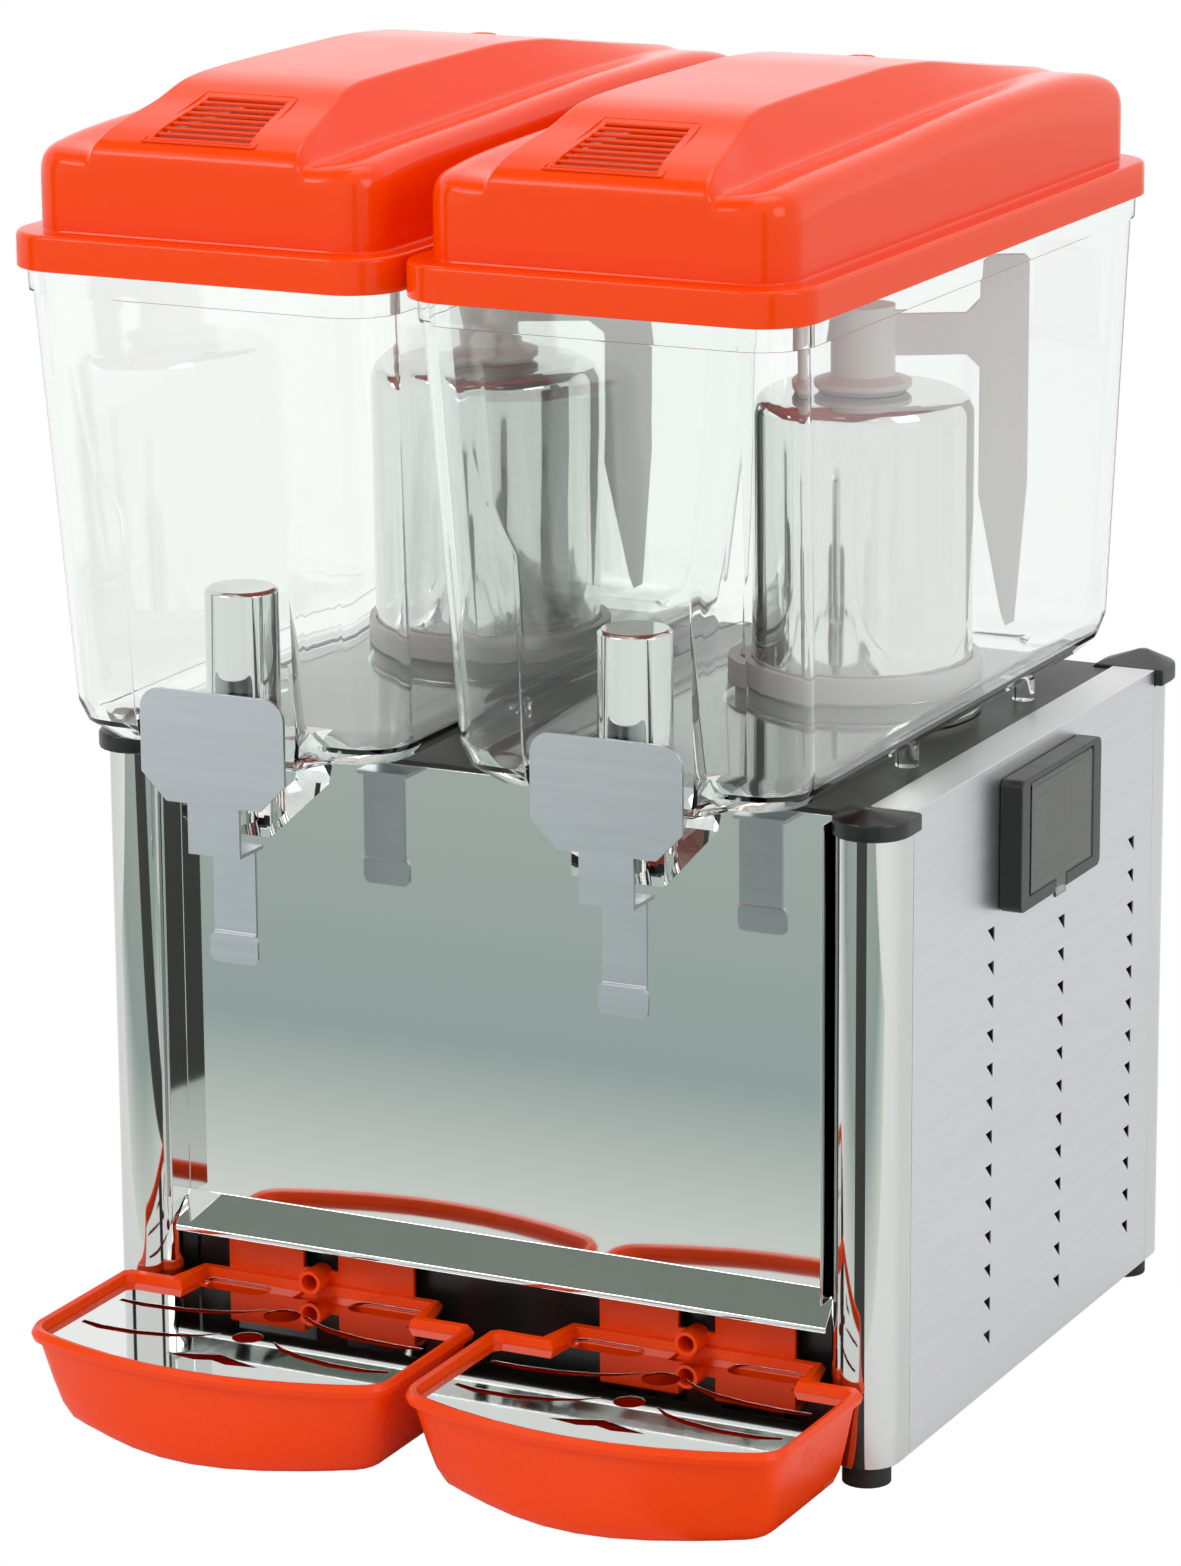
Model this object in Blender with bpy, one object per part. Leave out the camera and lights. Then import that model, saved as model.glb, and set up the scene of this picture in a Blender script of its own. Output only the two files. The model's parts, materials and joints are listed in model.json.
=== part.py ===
"""A refrigerated twin-bowl juice dispenser, modelled piece by piece.

The machine is drawn about its own mid-plane: x runs across it, y from front to back with zero at the
front edge of the side panels, and z up from the table. An empty then moves it so that the origin is
at the centre of its footprint.
"""
from math import cos, pi, radians, sin, sqrt

import bmesh
import bpy
from mathutils import Matrix, Vector

# Fits shared by all pieces
GAP = 0.0003                    # between faces that touch
OVERRUN = 0.004                 # how far a cutter passes a face
RUNNING = 0.0012                # round pieces that turn or slide in another

# Casing
CASE_WIDTH = 0.410
PANEL_DEPTH = 0.299
CASE_HEIGHT = 0.3075
FOOT_HEIGHT = 0.011
FOOT_RADIUS = 0.0115
SHEET = 0.0012
PANEL_FLANGE = 0.022
DECK_THICKNESS = 0.002
PAN_RIM = 0.018
PAN_DROP = 0.003                # floor pan above the lower edge of the side panels

# Corner columns and their caps
COLUMN_WIDTH = 0.0326
COLUMN_STRAIGHT = 0.012
COLUMN_WALL = 0.002
COLUMN_CUT = 0.0085             # the columns stop this far under the top of the side panels
CAP_OVERHANG = 0.0042
CAP_RIM = 0.0080
CAP_PEAK = 0.0050
CAP_TIP_SHARE = 0.14            # of the cap's outline that is left at its highest point
COLUMN_SEGMENTS = 12

# Louvres of the side panels
LOUVRE_WIDTH = 0.0080
LOUVRE_HEIGHT = 0.0075
LOUVRE_PITCH = 0.0166
LOUVRE_FIRST_Z = 0.037
LOUVRE_COLUMN_SHARES = (0.308, 0.602, 0.906)   # of the panel depth
LOUVRE_ROWS = (13, 12, 13)
REAR_SLOTS = 9                  # air slots of the rear panel, at the same pitch

# Front panel
FRONT_SETBACK = -0.008          # rear face of the panel, ahead of the side panels
FRONT_LOW_Z = 0.087
FRONT_RETURN = 0.018
LIP_DROP = 0.015
LIP_REACH = 0.014
KICK_Y = 0.0012

# Bowls
BOWL_PITCH = 0.200
RIM_WIDTH = 0.196               # over the band of the lid
RIM_FRONT_Y = -0.1165
RIM_BACK_Y = 0.3124
RIM_CORNER = 0.026
BOWL_HEIGHT = 0.226             # from the floor's underside to the lid's band
BAND_HEIGHT = 0.0165
LID_WALL = 0.0025
BOWL_WALL = 0.0025
BOWL_STAND = 0.0105             # clear height between the case and the bowl
BOWL_BOTTOM_ROUND = 0.020
BOWL_SIDE_TAPER = 0.0065        # each side draws in by this much from rim to floor
BOWL_FRONT_TAPER = 0.0230
BOWL_BACK_TAPER = 0.0120
BOWL_CORNER = 0.023
RAISED_TOP_HALF = 0.058         # raised panel of the front and rear walls, above its kink
RAISED_LOW_HALF = 0.047
RAISED_KINK_HIGH = 0.136        # heights over the bowl's underside
RAISED_KINK_LOW = 0.114
RAISED_FADE = 0.214
RAISED_LOW_REACH = 0.0060       # how far the raised panel stands out at the floor
RAISED_ROUND_SHARE = 0.8        # of the floor's rounding that the raised panel makes up for
FLANGE_HEIGHT = 0.011
FLANGE_REACH = 0.0020
PEG_RADIUS = 0.0055
PEG_PLACES = (0.079, 0.221)     # behind the front edge of the side panels

# Cooling domes, gaskets and paddles
DOME_RADIUS = 0.0535
DOME_Y = 0.175
DOME_HEIGHT = 0.143             # over the bowl's underside
DOME_ROUND = 0.008
DOME_WALL = 0.002
DOME_FOOT_RADIUS = 0.060
DOME_FOOT_THICKNESS = 0.003
GASKET_RADIUS = 0.0585
GASKET_HEIGHT = 0.030
HUB_RADIUS = 0.0155
HUB_DISC_RADIUS = 0.0235
HUB_DISC_HEIGHT = 0.008
HUB_HEIGHT = 0.040
ARM_DEPTH = 0.0035
ARM_HEIGHT = 0.020
BLADE_RADIUS = 0.079
BLADE_WIDTH = 0.026
BLADE_TOP = 0.207               # heights over the bowl's underside
BLADE_SHOULDER = 0.091
BLADE_TIP = 0.027
BLADE_THICKNESS = 0.003
PADDLE_TURN = radians(30)       # how far the paddle stands turned at rest

# Agitator drive under each dome
MOTOR_RADIUS = 0.026
MOTOR_HEIGHT = 0.045
MOTOR_TOP_BELOW_DECK = 0.020
ROTOR_RADIUS = 0.030
ROTOR_HEIGHT = 0.012
SHAFT_RADIUS = 0.004

# Tap: sleeve, plunger, spring and spout
TAP_Y = -0.0695
SLEEVE_RADIUS = 0.0170
SLEEVE_WALL = 0.0016
SLEEVE_HEIGHT = 0.079           # over the bowl's underside
PLUNGER_RADIUS = 0.0120
PLUNGER_HEAD = 0.030
PLUNGER_STEM_RADIUS = 0.0035
OUTLET_RADIUS = 0.0095
SPOUT_WIDTH = 0.046
SPOUT_FRONT_Y = -0.089
SPOUT_DEPTH = 0.056
SPOUT_DROP = 0.033              # below the bowl's underside
SPOUT_BACK_DROP = 0.021
SPRING_WIRE = 0.0011
SPRING_RADIUS = 0.0065
SPRING_TURNS = 5
SPRING_SEGMENTS = 8

# Push levers
LEVER_SHEET = 0.0018
LEVER_Y = -0.1010
LEVER_PLATE_WIDTH = 0.075
LEVER_PLATE_RISE = 0.035        # over the bowl's underside
LEVER_PLATE_DROP = 0.018        # below the bowl's underside, like the next three
LEVER_CORNER = 0.010
LEVER_CHAMFER = 0.013
LEVER_STEM_WIDTH = 0.027
LEVER_BEND_DROP = 0.040
LEVER_JOG = 0.020
LEVER_TAIL_WIDTH = 0.022
LEVER_TAIL_DROP = 0.083
LEVER_FOOT_WIDTH = 0.025
LEVER_FOOT_HEIGHT = 0.014
PIN_RADIUS = 0.0022
PIN_DROP = 0.004
PIN_Y = -0.0957
PIN_BOSS_SHARE = 1.4            # radius of the boss on the bowl over the pin's radius

# Lids
LID_INSET = 0.010               # body of the lid inside its band
LID_CORNER = 0.020
RIDGE_HALF = 0.0525
LID_HEIGHT = 0.082
VENT_WIDTH = 0.050                # at its front; it narrows to the back
VENT_BACK_WIDTH = 0.040
VENT_SLOTS = 8
VENT_SLOT = 0.0022
VENT_CUT_DEPTH = 0.042
VENT_FRONT_Y = -0.098
VENT_LENGTH = 0.044
PLUG_RADIUS = 0.007

# Drip trays and their grilles
TRAY_HALF = 0.0960
TRAY_FRONT_CORNER_Y = -0.124
TRAY_BULGE_Y = -0.145
TRAY_BACK_Y = -0.0300
TRAY_STEP_Y = -0.0065
TRAY_STEP_HALF = 0.0655
TRAY_RIM_Z = 0.052
TRAY_FLOOR_Z = 0.003
TRAY_WALL = 0.0022
TRAY_RIM = 0.0030
TRAY_DRAFT = 0.012
TRAY_ROUND = 0.010
TRAY_CORNER = 0.016
TRAY_BELLY = 0.008                # extra bow of the front near the floor
TRAY_LEDGE = 0.0065             # grille seat below the rim
TAB_WIDTH = 0.041
TAB_HEIGHT = 0.017
TAB_OFFSET = 0.030
TAB_THICKNESS = 0.0025
HOOK_DROP = 0.008
DRAIN_RADIUS = 0.0060
DRAIN_BORE = 0.0042
DRAIN_LENGTH = 0.012
GRATE_SHEET = 0.0012

# Refrigeration inside the case
COMPRESSOR_RADIUS = 0.058
COMPRESSOR_HEIGHT = 0.135
COMPRESSOR_X = -0.090
COMPRESSOR_BACK = 0.094         # from the back edge of the side panels
COMPRESSOR_FOOT_SHARE = 0.9     # half the foot plate over the shell's radius
CONDENSER_WIDTH = 0.190
CONDENSER_HEIGHT = 0.170
CONDENSER_DEPTH = 0.036
CONDENSER_Y = 0.048
CONDENSER_GROOVES = 12
CONDENSER_GROOVE_SHARE = 0.86   # of the block's height
FAN_RADIUS = 0.070
FAN_BLADES = 5
FAN_HUB = 0.016
FAN_DEPTH = 0.018
FAN_TWIST = radians(28)
FAN_CHORD_SHARE = 1.7           # width of a blade over the hub's radius
FAN_MOTOR_RADIUS = 0.024
FAN_MOTOR_LENGTH = 0.040
FAN_MOTOR_LEG_SHARE = 0.6       # half the leg's width over the motor's radius
FAN_FROM_SIDE = 0.125
FAN_Z = 0.112
TUBE_RADIUS = 0.0035

# Switch box on the right panel
SWITCH_Y = 0.150
SWITCH_DROP = 0.041             # below the top of the case
SWITCH_WIDTH = 0.100
SWITCH_HEIGHT = 0.064
SWITCH_DEPTH = 0.0115
SWITCH_FRAME = 0.013
SWITCH_CORNER = 0.004
SWITCH_BODY_DEPTH = 0.026       # how far the box reaches inside the case
FLAP_SHEET = 0.0016
FLAP_PIN = 0.0016
ROCKER_WIDTH = 0.016
ROCKER_HEIGHT = 0.024
ROCKER_PITCH = 0.022

# Cord inlet
GLAND_RADIUS = 0.0085
GLAND_LENGTH = 0.012
GLAND_BORE = 0.0040
GLAND_FLANGE_SHARE = 1.45       # radius of the flange over the bush's radius

# Places worked out from the sizes above
SIDE_X = CASE_WIDTH / 2
CASE_LOW_Z = FOOT_HEIGHT
CASE_TOP_Z = FOOT_HEIGHT + CASE_HEIGHT
COLUMN_TOP_Z = CASE_TOP_Z - COLUMN_CUT
COLUMN_X = SIDE_X - COLUMN_WIDTH / 2
DECK_TOP_Z = CASE_TOP_Z - SHEET - GAP
BOWL_X = BOWL_PITCH / 2
SWITCH_OUT_X = SIDE_X + SWITCH_DEPTH
BOWL_FLOOR_Z = CASE_TOP_Z + BOWL_STAND
BAND_LOW_Z = BOWL_FLOOR_Z + BOWL_HEIGHT
BAND_TOP_Z = BAND_LOW_Z + BAND_HEIGHT
RIDGE_TOP_Z = BAND_LOW_Z + LID_HEIGHT
RAISED_KINK_HIGH_Z = BOWL_FLOOR_Z + RAISED_KINK_HIGH
RAISED_KINK_LOW_Z = BOWL_FLOOR_Z + RAISED_KINK_LOW
RAISED_FADE_Z = BOWL_FLOOR_Z + RAISED_FADE
DOME_TOP_Z = BOWL_FLOOR_Z + DOME_HEIGHT
BLADE_TOP_Z = BOWL_FLOOR_Z + BLADE_TOP
BLADE_SHOULDER_Z = BOWL_FLOOR_Z + BLADE_SHOULDER
BLADE_TIP_Z = BOWL_FLOOR_Z + BLADE_TIP
SLEEVE_TOP_Z = BOWL_FLOOR_Z + SLEEVE_HEIGHT
SPOUT_LOW_Z = BOWL_FLOOR_Z - SPOUT_DROP
SPOUT_BACK_Z = BOWL_FLOOR_Z - SPOUT_BACK_DROP
LEVER_PLATE_TOP_Z = BOWL_FLOOR_Z + LEVER_PLATE_RISE
LEVER_PLATE_LOW_Z = BOWL_FLOOR_Z - LEVER_PLATE_DROP
LEVER_BEND_Z = BOWL_FLOOR_Z - LEVER_BEND_DROP
LEVER_TAIL_LOW_Z = BOWL_FLOOR_Z - LEVER_TAIL_DROP
PIN_Z = BOWL_FLOOR_Z - PIN_DROP
SWITCH_Z = CASE_TOP_Z - SWITCH_DROP
COMPRESSOR_Y = PANEL_DEPTH - COMPRESSOR_BACK
FAN_X = SIDE_X - FAN_FROM_SIDE
FRONT_FACE_Y = FRONT_SETBACK - SHEET
SIDES = (("left", -1), ("right", 1))


def clear_scene():
    for item in list(bpy.data.objects):
        bpy.data.objects.remove(item, do_unlink=True)


def make_machine_empty():
    """The empty that carries everything, placed so that the footprint's centre is the origin."""
    middle_x = (SWITCH_DEPTH - CAP_OVERHANG) / 2
    back_y = PANEL_DEPTH + GAP + COLUMN_STRAIGHT + CAP_OVERHANG + COLUMN_WIDTH / 2
    machine = bpy.data.objects.new("machine", None)
    machine.location = (-middle_x, -(TRAY_BULGE_Y + back_y) / 2, 0)
    bpy.context.scene.collection.objects.link(machine)
    return machine


def finish_material(name, colour, roughness, metallic=0.0, alpha=1.0):
    material = bpy.data.materials.new(name)
    material.use_nodes = True
    shader = material.node_tree.nodes["Principled BSDF"]
    shader.inputs["Base Color"].default_value = (*colour, 1.0)
    shader.inputs["Roughness"].default_value = roughness
    shader.inputs["Metallic"].default_value = metallic
    shader.inputs["Alpha"].default_value = alpha
    return material


FINISHES = {
    "brushed": ((0.62, 0.62, 0.63), 0.32, 1.0),
    "mirror": ((0.75, 0.76, 0.75), 0.08, 1.0),
    "steel": ((0.45, 0.45, 0.46), 0.40, 1.0),
    "copper": ((0.72, 0.36, 0.20), 0.35, 1.0),
    "black": ((0.02, 0.022, 0.02), 0.35),
    "rubber": ((0.03, 0.03, 0.03), 0.75),
    "orange": ((0.95, 0.055, 0.008), 0.22),
    "clear": ((0.88, 0.92, 0.89), 0.05, 0.0, 0.25),
    "smoke": ((0.10, 0.12, 0.09), 0.10, 0.0, 0.55),
    "white": ((0.86, 0.86, 0.82), 0.40),
    "red": ((0.60, 0.02, 0.02), 0.30),
    "enamel": ((0.02, 0.02, 0.025), 0.45),
}


def finish_object(name, bm, finish, origin=(0, 0, 0), smooth=False):
    """Turn a bmesh in machine coordinates into a named object whose origin is at the given point."""
    bmesh.ops.translate(bm, verts=bm.verts, vec=-Vector(origin))
    bmesh.ops.recalc_face_normals(bm, faces=bm.faces)
    mesh = bpy.data.meshes.new(name)
    bm.to_mesh(mesh)
    bm.free()
    if smooth:
        mesh.shade_smooth()
        mesh.set_sharp_from_angle(angle=radians(35))
    item = bpy.data.objects.new(name, mesh)
    item.location = origin
    item.parent = MACHINE
    bpy.context.scene.collection.objects.link(item)
    mesh.materials.append(finish_material(name + "_finish", *FINISHES[finish]))
    return item


def boolean(item, shapes, operation):
    """Cut, join or intersect an object with bmeshes in machine coordinates, one after another."""
    for number, bm in enumerate(shapes):
        tool = finish_object(f"{item.name}_{operation.lower()}_{number}", bm, "steel", item.location)
        tool.hide_render = True
        tool.display_type = "WIRE"
        step = item.modifiers.new(tool.name, "BOOLEAN")
        step.operation = operation
        step.solver = "EXACT"
        step.object = tool
    return item


def cut(item, *shapes):
    return boolean(item, shapes, "DIFFERENCE")


def fuse(item, *shapes):
    return boolean(item, shapes, "UNION")


def box(x0, x1, y0, y1, z0, z1):
    bm = bmesh.new()
    size = Matrix.Diagonal((x1 - x0, y1 - y0, z1 - z0, 1))
    middle = Matrix.Translation(((x0 + x1) / 2, (y0 + y1) / 2, (z0 + z1) / 2))
    bmesh.ops.create_cube(bm, size=1, matrix=middle @ size)
    return bm


def loft(rings):
    """A closed body through rings of equal length, with a flat face at each end."""
    bm = bmesh.new()
    rows = [[bm.verts.new(point) for point in ring] for ring in rings]
    for low, high in zip(rows, rows[1:]):
        for index in range(len(low)):
            following = (index + 1) % len(low)
            bm.faces.new((low[index], low[following], high[following], high[index]))
    bm.faces.new(list(reversed(rows[0])))
    bm.faces.new(rows[-1])
    return bm


def prism(outline, low, high, axis="z"):
    """Extrude an outline of two coordinates along x, y or z."""
    place = {
        "x": lambda a, b, t: (t, a, b),
        "y": lambda a, b, t: (a, t, b),
        "z": lambda a, b, t: (a, b, t),
    }[axis]
    return loft([[place(a, b, level) for a, b in outline] for level in (low, high)])


def circle(x, y, radius, segments=20):
    return [
        (x + radius * cos(2 * pi * step / segments), y + radius * sin(2 * pi * step / segments))
        for step in range(segments)
    ]


def cylinder(x, y, radius, low, high, segments=20, axis="z"):
    return prism(circle(x, y, radius, segments), low, high, axis)


def turned(profile, x, y, segments=20):
    """A body turned about a vertical axis, through (radius, z) pairs from one end to the other."""
    return loft([[(px, py, z) for px, py in circle(x, y, radius, segments)] for radius, z in profile])


def arc(x, y, radius, start, end, steps):
    """Points along an arc, with angles in degrees."""
    angles = [radians(start + (end - start) * step / steps) for step in range(steps + 1)]
    return [(x + radius * cos(angle), y + radius * sin(angle)) for angle in angles]


def rounded_rectangle(x0, x1, y0, y1, radius, steps=4):
    corners = ((x1, y0, -90), (x1, y1, 0), (x0, y1, 90), (x0, y0, 180))
    points = []
    for x, y, start in corners:
        inner_x = x - radius if x == x1 else x + radius
        inner_y = y - radius if y == y1 else y + radius
        points += arc(inner_x, inner_y, radius, start, start + 90, steps)
    return points


def strip(path, thickness):
    """The outline of a bent sheet whose first face follows the path, in a plane."""
    offsets = []
    for index, point in enumerate(path):
        before = Vector(path[max(index - 1, 0)])
        after = Vector(path[min(index + 1, len(path) - 1)])
        here = Vector(point)
        normals = []
        for start, end in ((before, here), (here, after)):
            run = end - start
            if run.length > 0:
                normals.append(Vector((-run.y, run.x)).normalized())
        middle = sum(normals, Vector((0, 0))).normalized()
        offsets.append(here + middle * thickness / middle.dot(normals[0]))
    return [tuple(point) for point in path] + [tuple(point) for point in reversed(offsets)]


def make_side_panel(name, side):
    """A brushed sheet whose top edge is folded inwards, with three columns of small louvre slots."""
    path = [
        (SIDE_X, CASE_LOW_Z),
        (SIDE_X, CASE_TOP_Z),
        (SIDE_X - PANEL_FLANGE, CASE_TOP_Z),
    ]
    outline = [(side * x, z) for x, z in strip(path, SHEET)]
    panel = finish_object(name, prism(outline, GAP, PANEL_DEPTH - GAP, "y"), "brushed")
    slots = bmesh.new()
    for share, rows in zip(LOUVRE_COLUMN_SHARES, LOUVRE_ROWS):
        back_y = PANEL_DEPTH * share + LOUVRE_WIDTH / 2
        for row in range(rows):
            z = LOUVRE_FIRST_Z + row * LOUVRE_PITCH
            corners = (
                (back_y, z - LOUVRE_HEIGHT / 2),
                (back_y, z + LOUVRE_HEIGHT / 2),
                (back_y - LOUVRE_WIDTH, z + LOUVRE_HEIGHT / 2),
            )
            inner = [slots.verts.new((side * (SIDE_X - OVERRUN), y, z)) for y, z in corners]
            outer = [slots.verts.new((side * (SIDE_X + OVERRUN), y, z)) for y, z in corners]
            slots.faces.new(inner)
            slots.faces.new(list(reversed(outer)))
            for index in range(len(corners)):
                after = (index + 1) % len(corners)
                slots.faces.new((inner[index], outer[index], outer[after], inner[after]))
    cut(panel, slots)
    if side > 0:
        half_y = SWITCH_WIDTH / 2 - SWITCH_FRAME + GAP
        half_z = SWITCH_HEIGHT / 2 - SWITCH_FRAME / 2 + GAP
        cut(
            panel,
            box(
                SIDE_X - OVERRUN, SIDE_X + OVERRUN, SWITCH_Y - half_y, SWITCH_Y + half_y,
                SWITCH_Z - half_z, SWITCH_Z + half_z,
            ),
        )
    return panel


def column_outline(side, end, inner=0.0, outer=0.0, straight=COLUMN_STRAIGHT, wall_y=0.0):
    """The D of a corner column, grown by the given overhangs; end is -1 at the front, 1 at the back."""
    half = (COLUMN_WIDTH + inner + outer) / 2
    middle = COLUMN_X + (outer - inner) / 2
    points = [(middle + half, wall_y)]
    points += arc(middle, straight, half, 0, 180, COLUMN_SEGMENTS)
    points += [(middle - half, wall_y)]
    edge_y = GAP if end < 0 else PANEL_DEPTH - GAP
    placed = [(side * x, edge_y + end * (y + 2 * GAP)) for x, y in points]
    return placed


def make_column(name, side, end):
    outside = column_outline(side, end)
    inside = column_outline(side, end, -COLUMN_WALL, -COLUMN_WALL, wall_y=COLUMN_WALL)
    column = finish_object(name, prism(outside, CASE_LOW_Z, COLUMN_TOP_Z), "mirror", smooth=True)
    return cut(column, prism(inside, CASE_LOW_Z - OVERRUN, COLUMN_TOP_Z + OVERRUN))


def make_cap(name, side, end):
    """A plain lid over a column with a low pointed top."""
    outline = column_outline(side, end, 0, CAP_OVERHANG, COLUMN_STRAIGHT + CAP_OVERHANG / 2)
    middle_x = sum(x for x, y in outline) / len(outline)
    middle_y = sum(y for x, y in outline) / len(outline)
    base_z = COLUMN_TOP_Z + GAP
    rings = []
    top_z = base_z + CAP_RIM + CAP_PEAK
    for share, z in ((1, base_z), (1, base_z + CAP_RIM), (CAP_TIP_SHARE, top_z)):
        ring = [
            (middle_x + (x - middle_x) * share, middle_y + (y - middle_y) * share, z)
            for x, y in outline
        ]
        rings.append(ring)
    return finish_object(name, loft(rings), "black")


def foot_centre(side, end):
    y = -COLUMN_STRAIGHT if end < 0 else PANEL_DEPTH + COLUMN_STRAIGHT
    return side * COLUMN_X, y


def make_foot(name, side, end):
    x, y = foot_centre(side, end)
    inset = -COLUMN_WALL - GAP
    plug = column_outline(side, end, inset, inset, wall_y=COLUMN_WALL + GAP)
    foot = finish_object(name, cylinder(x, y, FOOT_RADIUS, 0, FOOT_HEIGHT), "rubber", smooth=True)
    return fuse(foot, prism(plug, FOOT_HEIGHT - SHEET, 2 * FOOT_HEIGHT))


def make_front_panel():
    """A mirror sheet between the front columns, with side returns and a lip along its lower edge."""
    half = SIDE_X - COLUMN_WIDTH - GAP
    front_y = FRONT_SETBACK - FRONT_RETURN
    path = [(-half, front_y), (-half, FRONT_SETBACK), (half, FRONT_SETBACK), (half, front_y)]
    outline = strip(path, -SHEET)
    top_z = DECK_TOP_Z - DECK_THICKNESS - GAP
    panel = finish_object("front_panel", prism(outline, FRONT_LOW_Z, top_z), "mirror")
    lip = [
        (FRONT_SETBACK, FRONT_LOW_Z + SHEET),
        (FRONT_SETBACK, FRONT_LOW_Z),
        (FRONT_SETBACK - LIP_REACH, FRONT_LOW_Z - LIP_DROP),
        (FRONT_SETBACK - LIP_REACH, FRONT_LOW_Z - LIP_DROP + 2 * SHEET),
        (FRONT_FACE_Y, FRONT_LOW_Z + 2 * SHEET),
    ]
    return fuse(panel, prism(lip, -half, half, "x"))


def tab_centres():
    return [side * BOWL_X + shift for _, side in SIDES for shift in (-TAB_OFFSET, TAB_OFFSET)]


def make_kick_plate():
    """The polished plate behind the drip trays, with a slot for each of their four hooks."""
    half = SIDE_X - COLUMN_WIDTH - GAP
    top_z = FRONT_LOW_Z + LIP_DROP
    plate = finish_object(
        "kick_plate", box(-half, half, KICK_Y, KICK_Y + SHEET, CASE_LOW_Z, top_z), "mirror"
    )
    slot_half = TAB_WIDTH / 2 + RUNNING
    low = TRAY_RIM_Z + TAB_HEIGHT - TAB_THICKNESS - GAP
    slots = [
        box(
            x - slot_half, x + slot_half, KICK_Y - OVERRUN, KICK_Y + SHEET + OVERRUN,
            low, low + HOOK_DROP + 2 * SHEET,
        )
        for x in tab_centres()
    ]
    return cut(plate, *slots)


def make_top_deck():
    """The black plate under the bowls, with a hole below each cooling dome."""
    wide = SIDE_X - SHEET - GAP
    narrow = SIDE_X - COLUMN_WIDTH - GAP
    back_y = PANEL_DEPTH - FRONT_SETBACK
    outline = [
        (-narrow, FRONT_FACE_Y), (narrow, FRONT_FACE_Y), (narrow, GAP), (wide, GAP),
        (wide, PANEL_DEPTH - GAP), (narrow, PANEL_DEPTH - GAP), (narrow, back_y), (-narrow, back_y),
        (-narrow, PANEL_DEPTH - GAP), (-wide, PANEL_DEPTH - GAP), (-wide, GAP), (-narrow, GAP),
    ]
    deck = finish_object("top_deck", prism(outline, DECK_TOP_Z - DECK_THICKNESS, DECK_TOP_Z), "black")
    low = DECK_TOP_Z - DECK_THICKNESS - OVERRUN
    holes = [
        cylinder(side * BOWL_X, DOME_Y, 2 * SHAFT_RADIUS, low, DECK_TOP_Z + OVERRUN)
        for _, side in SIDES
    ]
    return cut(deck, *holes)


def make_rear_panel():
    """A plain sheet with a field of air slots in front of the fan's outlet and the cord inlet hole."""
    half = SIDE_X - COLUMN_WIDTH - GAP
    y = PANEL_DEPTH - FRONT_SETBACK - SHEET
    top_z = DECK_TOP_Z - DECK_THICKNESS - GAP
    panel = finish_object("rear_panel", box(-half, half, y, y + SHEET, CASE_LOW_Z, top_z), "brushed")
    x, z = gland_place()
    cutters = [cylinder(x, z, GLAND_RADIUS + GAP, y - OVERRUN, y + SHEET + OVERRUN, 16, "y")]
    slot_width = half
    slot_height = 2 * LOUVRE_WIDTH / 3
    for row in range(REAR_SLOTS):
        low = CASE_LOW_Z + CASE_HEIGHT / 3 + row * LOUVRE_PITCH
        cutters.append(
            box(
                -slot_width / 2, slot_width / 2, y - OVERRUN, y + SHEET + OVERRUN,
                low, low + slot_height,
            )
        )
    return cut(panel, *cutters)


def gland_place():
    return -SIDE_X + COLUMN_WIDTH + 4 * GLAND_RADIUS, CASE_LOW_Z + 4 * GLAND_RADIUS


def make_cord_gland():
    """The flanged bush of the cord inlet, with its bore."""
    x, z = gland_place()
    back_y = PANEL_DEPTH - FRONT_SETBACK
    flange = GLAND_FLANGE_SHARE * GLAND_RADIUS
    gland = finish_object(
        "cord_gland",
        cylinder(x, z, GLAND_RADIUS, back_y - GLAND_LENGTH, back_y + 2 * GAP, 16, "y"),
        "rubber", smooth=True,
    )
    fuse(gland, cylinder(x, z, flange, back_y + GAP, back_y + GLAND_LENGTH / 2, 16, "y"))
    low = back_y - GLAND_LENGTH - OVERRUN
    return cut(gland, cylinder(x, z, GLAND_BORE, low, back_y + GLAND_LENGTH + OVERRUN, 12, "y"))


def make_base_pan():
    """The floor of the case: a folded pan that the cooling plant stands on."""
    half = SIDE_X - SHEET - GAP
    front_y = KICK_Y + SHEET + GAP
    back_y = PANEL_DEPTH - FRONT_SETBACK - SHEET - GAP
    low = CASE_LOW_Z + PAN_DROP
    path = [
        (front_y, low + PAN_RIM), (front_y, low), (back_y, low), (back_y, low + PAN_RIM),
    ]
    pan = finish_object("base_pan", prism(strip(path, SHEET), -half, half, "x"), "steel")
    corner = COLUMN_WIDTH + GAP
    notches = []
    for _, side in SIDES:
        x0, x1 = sorted((side * (SIDE_X - corner), side * (SIDE_X + OVERRUN)))
        notches.append(box(x0, x1, PANEL_DEPTH - 2 * GAP, back_y + OVERRUN, 0, CASE_TOP_Z))
    return cut(pan, *notches)


def mirrored_ring(half_points, middle_x, z):
    """Close a half outline, drawn from the front to the back at +x, with its mirror image."""
    right = [(middle_x + x, y, z) for x, y in half_points]
    left = [(middle_x - x, y, z) for x, y in reversed(half_points)]
    return right + left


def bowl_flange_half():
    return RIM_WIDTH / 2 - LID_WALL - RUNNING / 2


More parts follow.
